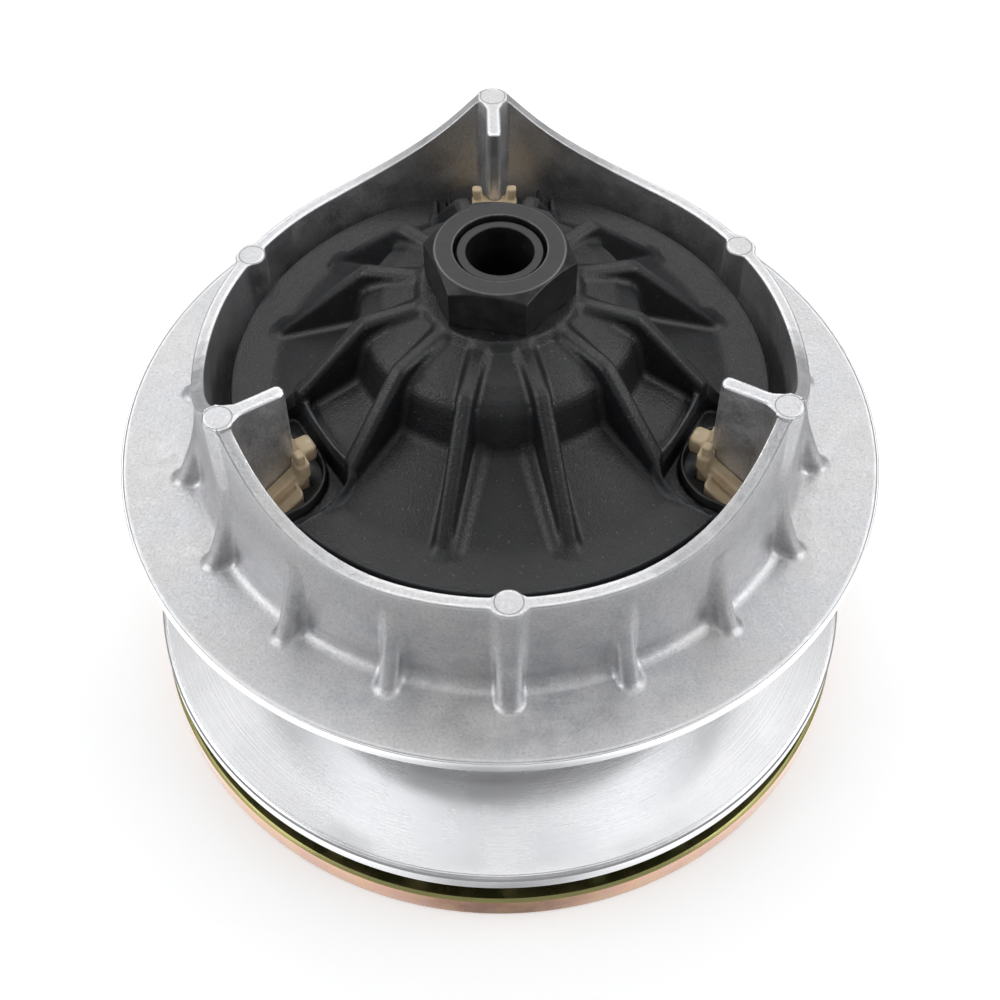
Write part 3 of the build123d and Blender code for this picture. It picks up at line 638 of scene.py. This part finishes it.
def follow_crest(x, y, z):
    """Squeezes the grid's upper rows so that one of them runs along the crest."""
    _, t = polar(x, y, 3, TOWERS[0])
    squeeze = (crest_height(np.abs(t)) - LIFT_FROM) / (TOWER_Z - LIFT_FROM)
    return np.where(z > LIFT_FROM, LIFT_FROM + (z - LIFT_FROM) * squeeze, z)


CREST = crest_line()
CROWN_IN_R = 56.0
CROWN_OUT_R = 99.65
CROWN_LOW = 66.0
WALL_IN_R = 73.7
WALL_TOP_R = 77.0
WALL_FOOT_R = 79.0
WALL = [
    (WALL_IN_R, CROWN_LOW), (WALL_FOOT_R, 70.0), (WALL_FOOT_R, FLANGE_TOP),
    (WALL_TOP_R, VALLEY_Z), (WALL_TOP_R, 140.0), (WALL_IN_R, 140.0),
]
PLATE_SECTION = [
    (CROWN_IN_R, face_z(CROWN_IN_R) + SKIN),
    (CROWN_OUT_R, face_z(CROWN_OUT_R) + SKIN),
    (CROWN_OUT_R, FLANGE_TOP),
    (74.0, FLANGE_TOP),
    (WALL_IN_R, face_z(WALL_IN_R) + PLATE),
    (CROWN_IN_R, face_z(CROWN_IN_R) + PLATE),
]
GUSSET = [
    (75.0, 82.0), (86.6, 82.0), (85.9, 84.0), (83.3, 89.4),
    (80.9, 95.6), (78.7, 102.0), (77.2, 106.5), (75.0, 108.0),
]
GUSSET_HALF = 2.35
COLUMN = [
    (74.0, 82.0), (86.4, 82.0), (86.0, 84.0), (83.5, 89.5), (80.6, 95.5),
    (79.0, 101.0), (78.65, 108.0), (78.65, 120.0), (74.0, 120.0),
]
WEB_IN_R = 58.4
WEB_HALF = 1.9
EAR_R = 6.0
EAR_Y = 9.8
EAR_HALF = 2.0
PIN_HOLE_R = 3.02


def crown(x, y, z):
    """The cast part of the sliding sheave: plate, towered wall, pads, webs, gussets, lever ears."""
    radius = np.hypot(x, y)
    s, t = polar(x, y, 3, TOWERS[0])
    t = np.abs(t)
    v, w = polar(x, y, 3, VALLEYS[0])
    w = np.abs(w)
    wall = outline(radius, z, WALL)
    pads = np.minimum(np.hypot(s - PAD_CENTRE_R, t), np.hypot(v - PAD_CENTRE_R, w)) - PAD_R
    wall = joined(wall, common(pads, FLANGE_TOP - 4 - z, 0.1), 1.2)
    plan = common(WEB_IN_R - s, t - WEB_HALF, 1.7)
    web = common(common(plan, s - PAD_CENTRE_R, 0.2), CROWN_LOW - z, 0.1)
    wall = joined(wall, web, 2.4)
    body = joined(outline(radius, z, PLATE_SECTION), wall, 3.4)
    g, h = polar(x, y, 18, VALLEYS[0])
    gusset = common(outline(g, z, GUSSET), np.abs(h) - GUSSET_HALF, 2.1)
    body = joined(body, gusset, 1.8)
    column_half = np.clip(2.6 + (z - FLANGE_TOP) * 0.06, 2.5, PAD_R)
    pillar = common(outline(v, z, COLUMN), w - column_half, 2.4)
    body = joined(body, pillar, 1.6)
    ear = bar(v, z, LEVER_PIVOT, (LEVER_PIVOT[0], CROWN_LOW), EAR_R)
    ear = common(ear, np.abs(w - EAR_Y) - EAR_HALF, 0.4)
    ear = less(ear, np.hypot(v - LEVER_PIVOT[0], z - LEVER_PIVOT[1]) - PIN_HOLE_R, 0.3)
    body = joined(body, common(ear, face_z(62) - z, 0.1), 1.0)
    tower_top = common(np.hypot(s - PAD_CENTRE_R, t) - PAD_R - 0.5, z - TOWER_Z, 0.1)
    under_crest = np.minimum(outline(t, z, CREST), tower_top)
    return common(common(body, under_crest, 0.4), CROWN_IN_R - radius, 0.1)


crown_radii = steps(
    (55, 73.1, 0.9 * COARSE), (73.1, 74.5, 0.3), (74.5, 76.4, 0.7), (76.4, 77.9, 0.35),
    (77.9, 88, 0.72 * COARSE), (88, 99, 1.8), (99, 101, 0.4),
)
crown_heights = steps(
    (65, 82, 1.2 * COARSE), (82, 90, 0.7 * COARSE), (90, 132.9, 0.95 * COARSE), (132.9, 135.8, 0.4)
)
sheave_crown = cast_round(
    "sheave_crown", crown, crown_radii, crown_heights, 6 * int(112 / COARSE), lift=follow_crest
)
dress(sheave_crown, "cast_aluminium", "sliding_sheave_assembly", "sliding_sheave")

sheave_face = lathe("sheave_belt_face", [
    (30.5, face_z(30.5), 0.6),
    (RIM_R, FLANGE_LOW, 0.35),
    (RIM_R, FLANGE_TOP - 0.1, 0.3),
    (RIM_R - 0.42, FLANGE_TOP - 0.1, 0),
    (RIM_R - 0.42, FLANGE_TOP - 1.4, 0),
    (58.0, face_z(58) + 1.0, 0),
    (58.0, face_z(58) + PLATE, 0),
    (34.5, face_z(34.5) + PLATE, 2.0),
    (34.5, 87.0, 1.0),
    (29.3, 93.2, 1.0),
    (29.3, 124.0, 0.5),
    (27.0, 124.0, 0.3),
    (27.0, 122.45, 0),
    (28.0, 122.45, 0),
    (28.0, 121.0, 0),
    (27.0, 121.0, 0),
    (27.0, 87.0, 0),
    (25.2, 87.0, 0.2),
    (25.2, 85.4, 0.3),
    (30.5, 85.4, 0.3),
], radius=0.3)
dress(sheave_face, "turned_aluminium", "sliding_sheave_assembly")


# ---------------------------------------------------------------- governor cup

CUP_TOP = 137.8
POCKET_HALF = 15.7
POCKET_IN_R = 50.5
POCKET_FLOOR = 104.5
SLOT_CENTRE_R = 64.5
SLOT_HALF = 13.0
CUP_SECTION = corner([
    (11.52, 127.0, 0),
    (11.52, CUP_TOP, 0.4),
    (19.2, CUP_TOP, 0.8),
    (20.6, 135.6, 1.5),
    (28.5, 133.4, 4),
    (33.9, 130.2, 6),
    (36.5, 118.0, 4),
    (57.0, 107.5, 8),
    (68.6, 106.3, 0.8),
    (68.6, 102.3, 0.6),
    (57.0, 102.3, 3),
    (31.0, 115.6, 3),
    (31.0, 128.0, 2),
    (18.5, 128.0, 0.5),
    (18.5, 127.0, 0.3),
], 0.5)
RIB = [
    (15.0, 131.0), (15.0, 137.5), (33.0, 135.7), (34.7, 135.2), (36.0, 134.0),
    (60.5, 106.7), (61.5, 104.5), (56.0, 104.6), (35.5, 115.5), (33.0, 130.0),
]
RIB_HALF = 2.15
RIB_EDGE = 1.6
LEVER_LENGTH = 30
LEVER_REST = 20
LEVER_SWING = 50
TRAVEL = 23
RAMP_OFFSET = 7.15
RAMP_HALF = 3.8
RIDGE_START = (36.0, 5.6)
RIDGE_LEAN = math.radians(16.5)
RIDGE_HALF = 0.9
SLOPE_START = (36.5, 118.0)
SLOPE_FALL = 10.5 / 20.5
STEP_R = 50.2
STEP_HALF = 0.65
STEP_TOP = 114.2
STEP_DEG = 14.0
POCKET_WALL = 2.0
POCKET_BACK_R = 49.0
POCKET_BACK_TOP = 108.4
BLOCK_IN_R = 48.5
BLOCK_OUT_R = 68.0
BLOCK_LOW = 98.0
BLOCK_TOP = 105.6


def roller_centre(share):
    """Radius and height of a roller's centre with the sheave closed by a share of its travel."""
    angle = math.radians(LEVER_REST + share * LEVER_SWING)
    radius = LEVER_PIVOT[0] - LEVER_LENGTH * math.cos(angle)
    return radius, LEVER_PIVOT[1] - share * TRAVEL + LEVER_LENGTH * math.sin(angle)


def ramp_section():
    """The plate the roller presses on: the path of its centre moved out by RAMP_OFFSET."""
    edge = []
    for k in range(11):
        share = -0.12 + 0.12 * k
        r0, z0 = roller_centre(share - 0.001)
        r1, z1 = roller_centre(share + 0.001)
        r, z = roller_centre(share)
        size = math.hypot(r1 - r0, z1 - z0)
        edge.append((r - (z1 - z0) / size * RAMP_OFFSET, z + (r1 - r0) / size * RAMP_OFFSET))
    return edge + [(edge[-1][0], 105.5), (edge[0][0], 115.5)]


RAMP = ramp_section()


def cup(x, y, z):
    """The governor cup: a ribbed bowl with a pocket and a guide slot at each tower, and three ramps."""
    radius = np.hypot(x, y)
    s, t = polar(x, y, 3, TOWERS[0])
    angle = np.degrees(np.abs(np.arctan2(t, s)))
    t = np.abs(t)
    v, w = polar(x, y, 3, VALLEYS[0])
    w = np.abs(w)
    body = outline(radius, z, CUP_SECTION)
    along, across = polar(x, y, 12, 15)
    rib = common(outline(along, z, RIB), np.abs(across) - RIB_HALF, RIB_EDGE)
    body = joined(body, rib, 1.7)
    ridge = (w - RIDGE_START[1]) * math.cos(RIDGE_LEAN) - (v - RIDGE_START[0]) * math.sin(RIDGE_LEAN)
    surface = SLOPE_START[1] - (v - SLOPE_START[0]) * SLOPE_FALL
    ridge = common(np.abs(ridge) - RIDGE_HALF, (z - surface - 0.3) * 0.89, 0.6)
    ridge = common(ridge, between(v, 34.0, 58.0, 0.5), 0.5)
    body = joined(body, common(ridge, surface - 3 - z, 0.2), 2.2)
    step = common(np.abs(radius - STEP_R) - STEP_HALF, z - STEP_TOP, 0.5)
    step = common(step, angle - STEP_DEG, 0.3)
    body = joined(body, common(step, 106.0 - z, 0.2), 1.0)
    block = common(t - POCKET_HALF - POCKET_WALL, BLOCK_IN_R - s, 0.5)
    block = common(block, radius - BLOCK_OUT_R, 0.4)
    block = common(block, between(z, BLOCK_LOW, BLOCK_TOP, 0.4), 0.4)
    body = joined(body, block, 0.8)
    back = common(np.abs(s - POCKET_BACK_R) - POCKET_WALL, t - POCKET_HALF - POCKET_WALL, 0.3)
    back = common(back, between(z, BLOCK_LOW, POCKET_BACK_TOP, 0.3), 0.3)
    body = joined(body, back, 0.8)
    pocket = common(common(POCKET_IN_R - s, t - POCKET_HALF, 3.0), POCKET_FLOOR - z, 0.8)
    body = less(body, pocket, 0.5)
    body = less(body, tub(s, t, SLOT_CENTRE_R, SLOT_HALF), 0.4)
    ramp = common(outline(v, z, RAMP), w - RAMP_HALF, 0.5)
    return joined(body, ramp, 1.2)


cup_radii = steps((10.8, 14, 0.5), (14, 69.8, 0.74 * COARSE))
cup_heights = steps((88, 142.6, 0.72 * COARSE))
governor = cast_round("governor_cup_body", cup, cup_radii, cup_heights, 6 * int(96 / COARSE))
dress(governor, "black_casting", "shaft_assembly", "governor_cup")


# ---------------------------------------------------------------- nut and shaft

NUT_HALF = 16.0
NUT_TURN = math.radians(78)
NUT_FACE_R = 15.5
NUT_CHAMFER = math.radians(30)
NUT_BORE_R = 11.0
NUT_REACH = 18.8


def nut(x, y, z):
    """A hex nut with a chamfered top face and a plain bore."""
    flats = np.full(x.shape, -99.0)
    for k in range(3):
        a = NUT_TURN + k * math.pi / 3
        flats = np.maximum(flats, np.abs(x * math.cos(a) + y * math.sin(a)) - NUT_HALF)
    radius = np.hypot(x, y)
    body = common(flats, between(z, NUT_LOW, NUT_TOP, 0.25), 0.35)
    cone = (radius - NUT_FACE_R) * math.sin(NUT_CHAMFER) + (z - NUT_TOP) * math.cos(NUT_CHAMFER)
    body = common(body, cone, 0.25)
    return less(body, radius - NUT_BORE_R, 0.25)


nut_low = (-NUT_REACH, -NUT_REACH, NUT_LOW)
nut_high = (NUT_REACH, NUT_REACH, NUT_TOP)
cup_nut = cast_block("cup_nut_body", nut, nut_low, nut_high, 0.32, 0.7)
dress(cup_nut, "black_steel", "shaft_assembly", "cup_nut")

SHAFT_LOW = 6.0
SHAFT_TOP = 148.6
TAPER_END = 38.0
BOLT_SEAT = 132.0
BOLT_BORE_R = 6.6
WELL_R = 8.0
THREAD_LOW = 137.6
THREAD_PITCH = 0.95
THREAD_R = 10.92
ROOT_R = 10.3
# The thread is a stack of plain grooves, not a helix
shaft_points = [
    (11.0, TAPER_END, 0),
    (14.5, SHAFT_LOW, 0.3),
    (20.0, SHAFT_LOW, 0.6),
    (20.0, 42.0, 0.5),
    (12.5, 42.0, 0.3),
    (12.5, 127.0, 0.3),
    (11.5, 127.0, 0.2),
    (11.5, 137.4, 0.2),
]
for k in range(11):
    z = THREAD_LOW + k * THREAD_PITCH
    shaft_points += [(ROOT_R, z, 0.1), (ROOT_R, z + 0.12, 0.1)]
    shaft_points += [(THREAD_R, z + 0.55, 0.1), (THREAD_R, z + 0.67, 0.1)]
shaft_points += [
    (10.1, SHAFT_TOP, 0.25),
    (WELL_R, SHAFT_TOP, 0.3),
    (WELL_R, BOLT_SEAT, 0.1),
    (BOLT_BORE_R, BOLT_SEAT, 0.5),
    (BOLT_BORE_R, TAPER_END, 0.3),
]
shaft = lathe("shaft_body", shaft_points, 144, 0.2)
dress(shaft, "black_steel", "shaft_assembly", "centre_shaft")


# ---------------------------------------------------------------- guides and cushions

GUIDE_LOW = 100.0
GUIDE_OUT_R = 68.9
FOOT_IN_R = 60.6
FOOT_HALF = 9.4
FOOT_TOP = 107.0
FOOT_FALL = 0.69
RAIL_IN_R = 57.0
RAIL_HALF = 5.3
RAIL_TOP = 111.7
RAIL_FALL = 0.617
GROOVE_IN_R = 61.4
GROOVE_Y = 5.9
GUIDE_END = [(60.2, 104.5), (60.2, 112.3), (56.8, 112.3), (56.8, 108.0)]
END_HALF = 6.1
LUG_R = (53.1, 57.4)
LUG_Z = (108.6, 113.1)
LUG_HALF = 2.7
POST_R = 58.9
POST_Y = 4.75
POST_Z = (109.0, 116.3)
WEB_SLOT = (60.3, 2.05)
HOLE_Z = 111.6
HOLE_R = 0.6
CUSHION_LOW = 99.0
CUSHION_TOP = 103.5
CUSHION_OUT_R = 68.1
LIP_TOP = 107.3


def guide(x, y, z):
    """A shoe astride the web: a falling two-step rail and an end piece with two posts and a lug."""
    y = np.abs(y)
    ends = common(x - GUIDE_OUT_R, GUIDE_LOW - z, 0.4)
    foot_top = FOOT_TOP - (x - FOOT_IN_R) * FOOT_FALL
    foot = common(common(FOOT_IN_R - x, y - FOOT_HALF, 1.6), (z - foot_top) * 0.82, 0.5)
    rail_top = RAIL_TOP - (x - RAIL_IN_R) * RAIL_FALL
    rail = common(common(RAIL_IN_R - x, y - RAIL_HALF, 1.4), (z - rail_top) * 0.85, 0.7)
    body = joined(common(foot, ends, 0.4), common(rail, ends, 0.4), 0.7)
    groove = common(GROOVE_IN_R - x, foot_top - 0.9 - z, 0.1)
    groove = common(np.abs(y - GROOVE_Y) - 0.45, groove, 0.1)
    body = less(body, groove, 0.3)
    end = common(outline(x, z, GUIDE_END), y - END_HALF, 0.9)
    body = joined(body, end, 0.8)
    lug = common(between(x, *LUG_R, 1.3), y - LUG_HALF, 1.3)
    body = joined(body, common(lug, between(z, *LUG_Z, 0.8), 0.8), 0.9)
    post = np.abs(y - POST_Y + (116.4 - z) * 0.1) - 1.35
    post = common(np.abs(x - POST_R) - 1.2, post, 0.8)
    body = joined(body, common(post, between(z, *POST_Z, 0.6), 0.6), 0.9)
    body = less(body, tub(x, y, *WEB_SLOT), 0.3)
    hole = common(np.hypot(y, z - HOLE_Z) - HOLE_R, x - 54.4, 0.1)
    return less(body, hole, 0.15)


def cushion(x, y, z):
    """A lining of the cup's slot with a thin raised lip, cut away round the guide."""
    y = np.abs(y)
    outer = common(tub(x, y, SLOT_CENTRE_R, SLOT_HALF - 0.03), x - CUSHION_OUT_R, 0.4)
    low = common(outer, between(z, CUSHION_LOW, CUSHION_TOP, 0.4), 0.4)
    lip = common(outer, -tub(x, y, SLOT_CENTRE_R, SLOT_HALF - 0.95), 0.15)
    lip = common(lip, between(z, CUSHION_LOW, LIP_TOP, 0.3), 0.3)
    foot = common(FOOT_IN_R - 0.03 - x, y - FOOT_HALF - 0.13, 0.5)
    rail = common(RAIL_IN_R - 0.03 - x, y - RAIL_HALF - 0.03, 0.5)
    return less(joined(low, lip, 0.5), np.minimum(foot, rail), 0.2)
first_guide = cast_block("guide_shape", guide, (52.4, -10.0, 99.4), (69.3, 10.0, 117.0), 0.34)
first_cushion = cast_block("cushion_shape", cushion, (51.3, -13.2, 98.8), (68.4, 13.2, 107.6), 0.38)
for index, azimuth in enumerate(TOWERS, start=1):
    made = turned_copy(first_guide, f"guide_saddle_{index}", azimuth)
    dress(made, "tan_nylon", "shaft_assembly", f"slider_guide_{index}")
    made = turned_copy(first_cushion, f"cushion_liner_{index}", azimuth)
    dress(made, "black_rubber", "shaft_assembly", f"guide_cushion_{index}")
for shape in (first_guide, first_cushion):
    bpy.data.objects.remove(shape)


# ---------------------------------------------------------------- fixed sheave and fan ring

FIXED_RIM = 20.3


def fixed_z(radius):
    return FIXED_RIM + (RIM_R - radius) * FLANK


fixed_face = lathe("fixed_belt_face", [
    (20.02, fixed_z(31) - 1.0, 0),
    (31.0, fixed_z(31) - 1.0, 0),
    (98.0, fixed_z(98.0) - 1.0, 0),
    (99.6, FIXED_RIM - 2.0, 0),
    (99.6, FIXED_RIM - 4.4, 0.1),
    (RIM_R, FIXED_RIM - 4.4, 0.4),
    (RIM_R, FIXED_RIM - 0.55, 0.15),
    (RIM_R - 0.5, FIXED_RIM, 0.1),
    (98.9, fixed_z(98.9) - 0.02, 0),
    (98.75, fixed_z(98.75) - 0.2, 0.05),
    (98.5, fixed_z(98.5) - 0.2, 0.05),
    (98.35, fixed_z(98.35), 0),
    (31.0, fixed_z(31), 1.0),
    (20.02, fixed_z(31), 0.3),
], count=360)
dress(fixed_face, "turned_aluminium", "shaft_assembly")

BACK_LOW = 8.4
BACK_SECTION = [
    (20.02, BACK_LOW),
    (31.0, BACK_LOW),
    (31.0, fixed_z(34) - 7),
    (34.0, fixed_z(34) - 7),
    (94.0, FIXED_RIM - 4.4),
    (99.7, FIXED_RIM - 4.4),
    (99.7, FIXED_RIM - 1.5),
    (31.0, fixed_z(31) - 0.5),
    (20.02, fixed_z(31) - 0.5),
]
FIN_R = (29.0, 95.0)
FIN_HALF = 1.5
BOSS_R = 84.0
BOSS_HALF = 6.0
BOSS_TOP = 18.0
SCREW_HOLE_R = 3.02
SCREW_HOLE_TOP = 15.0


def fixed_back(x, y, z):
    """The cast back of the fixed sheave: fins and screw bosses under a conical plate."""
    radius = np.hypot(x, y)
    body = outline(radius, z, BACK_SECTION)
    along, across = polar(x, y, 24, 0)
    fin = common(np.abs(across) - FIN_HALF, between(along, *FIN_R, 0.4), 0.5)
    fin = common(fin, common(BACK_LOW - z, z - fixed_z(radius) + 3, 0.4), 0.4)
    body = joined(body, fin, 1.6)
    s, t = polar(x, y, 6, 0)
    boss = common(np.abs(s - BOSS_R) - BOSS_HALF, np.abs(t) - BOSS_HALF, 1.0)
    boss = common(boss, between(z, BACK_LOW, BOSS_TOP, 0.4), 0.4)
    body = joined(body, boss, 1.2)
    hole = common(np.hypot(s - BOSS_R, t) - SCREW_HOLE_R, z - SCREW_HOLE_TOP, 0.1)
    return less(body, hole, 0.2)


back_radii = steps((19.3, 28.5, 1.4 * COARSE), (28.5, 98, 1.15 * COARSE), (98, 100.6, 0.5))
back_heights = steps((7.4, 9.4, 0.7), (9.4, 36, 1.2 * COARSE))
sheave_back = cast_round("fixed_sheave_back", fixed_back, back_radii, back_heights, 6 * int(72 / COARSE))
dress(sheave_back, "cast_aluminium", "shaft_assembly", "fixed_sheave")

ring_body = lathe("fan_ring_body", [
    (92.0, 0.0, 0.5),
    (100.47, 0.0, 0.8),
    (100.47, 7.6, 0.1),
    (99.6, 8.4, 0.15),
    (76.0, 8.4, 0.4),
    (76.0, 5.0, 0.4),
    (92.0, 5.0, 0.6),
], count=360)
dress(ring_body, "zinc_yellow", "shaft_assembly", "fan_ring")


# ---------------------------------------------------------------- floor, light and camera

def floor():
    bpy.ops.mesh.primitive_grid_add(x_subdivisions=8, y_subdivisions=8, size=6, location=(0, 0, -0.0002))
    plane = bpy.context.object
    plane.name = "studio_floor"
    p = Paint("studio_floor")
    cloud = p.noise(90, 2, 0.5)
    colour = p.mix(cloud, (0.90, 0.90, 0.90), (0.93, 0.93, 0.93))
    p.shader.inputs["Emission Color"].default_value = (1, 1, 1, 1)
    p.shader.inputs["Emission Strength"].default_value = 0.35
    plane.data.materials.append(p.done(colour, 0.7, 0.0))
    plane.visible_glossy = False


floor()


AIM_Z = 0.06


def softbox(name, azimuth, elevation, distance, width, height, glow):
    """A rectangular light aimed at the part, its glow given as radiance."""
    data = bpy.data.lights.new(name, "AREA")
    data.shape = "RECTANGLE"
    data.size, data.size_y = width, height
    data.energy = glow * math.pi * width * height
    lamp = bpy.data.objects.new(name, data)
    bpy.context.scene.collection.objects.link(lamp)
    a, e = math.radians(azimuth), math.radians(elevation)
    lamp.location = (
        distance * math.sin(a) * math.cos(e),
        -distance * math.cos(a) * math.cos(e),
        distance * math.sin(e) + AIM_Z,
    )
    lamp.rotation_mode = "QUATERNION"
    aim = -lamp.location.copy()
    aim.z += AIM_Z
    lamp.rotation_quaternion = aim.to_track_quat("-Z", "Y")


softbox("light_left", -78, 34, 1.1, 0.9, 0.7, 2.1)
softbox("light_right", 78, 34, 1.1, 0.9, 0.7, 2.1)
softbox("light_back_left", -122, 56, 1.2, 0.6, 0.6, 0.85)
softbox("light_back_right", 116, 58, 1.2, 0.6, 0.6, 0.95)
softbox("light_back", 180, 50, 1.2, 1.1, 0.55, 1.9)
softbox("light_top", 0, 80, 1.2, 0.5, 0.4, 1.0)


# The glow at heights from straight down (0) to straight up (1)
SKY = (
    (0.0, 0.3), (0.06, 0.4), (0.1, 0.8), (0.125, 0.8),
    (0.17, 0.42), (0.45, 0.36), (0.55, 0.30), (1.0, 0.27),
)
SIDE_GAIN = 3.0


def studio_world():
    """A dim room with a paler band steeply below the horizon, strongest to the sides."""
    world = bpy.data.worlds.new("studio")
    bpy.context.scene.world = world
    world.use_nodes = True
    tree = world.node_tree

    def node(kind, *values, **settings):
        made = tree.nodes.new("ShaderNode" + kind)
        for key, value in settings.items():
            setattr(made, key, value)
        for socket, value in zip(made.inputs, values):
            if isinstance(value, bpy.types.NodeSocket):
                tree.links.new(value, socket)
            else:
                socket.default_value = value
        return made.outputs

    x, y, z = node("SeparateXYZ", node("TexCoord")["Generated"])
    height = node("MapRange", z, -1.0, 1.0)[0]
    ramp = tree.nodes.new("ShaderNodeValToRGB")
    tree.links.new(height, ramp.inputs[0])
    while len(ramp.color_ramp.elements) < len(SKY):
        ramp.color_ramp.elements.new(0.5)
    for element, (place, glow) in zip(ramp.color_ramp.elements, SKY):
        element.position = place
        element.color = (glow * 0.98, glow * 0.99, glow, 1)
    x_square = node("Math", x, 2.0, operation="POWER")[0]
    y_square = node("Math", y, 2.0, operation="POWER")[0]
    level = node("Math", node("Math", x_square, y_square)[0], operation="SQRT")[0]
    aside = node("Math", node("Math", x, operation="ABSOLUTE")[0], level, operation="DIVIDE")[0]
    aside = node("MapRange", aside, 0.25, 0.8, interpolation_type="SMOOTHSTEP")[0]
    low = node("MapRange", z, -0.70, -0.77, interpolation_type="SMOOTHSTEP")[0]
    gain = node("Math", aside, low, operation="MULTIPLY")[0]
    background = tree.nodes["Background"]
    tree.links.new(ramp.outputs[0], background.inputs["Color"])
    strength = node("MapRange", gain, 0.0, 1.0, 1.0, SIDE_GAIN)[0]
    tree.links.new(strength, background.inputs["Strength"])


studio_world()
bpy.context.scene.view_settings.view_transform = "Standard"

camera_data = bpy.data.cameras.new("camera")
camera_data.lens = 56.7
camera_data.sensor_width = 36
camera_data.clip_start = 0.01
camera = bpy.data.objects.new("camera", camera_data)
bpy.context.scene.collection.objects.link(camera)
bpy.context.scene.camera = camera


def aim_camera(azimuth, elevation, distance, target_z):
    a, e = math.radians(azimuth), math.radians(elevation)
    back = (math.sin(a) * math.cos(e), -math.cos(a) * math.cos(e), math.sin(e))
    camera.location = [distance * n for n in back]
    camera.location.z += target_z
    camera.rotation_euler = (math.radians(90 - elevation), 0, a)


aim_camera(azimuth=-1.53, elevation=52.46, distance=0.4445, target_z=0.0529)
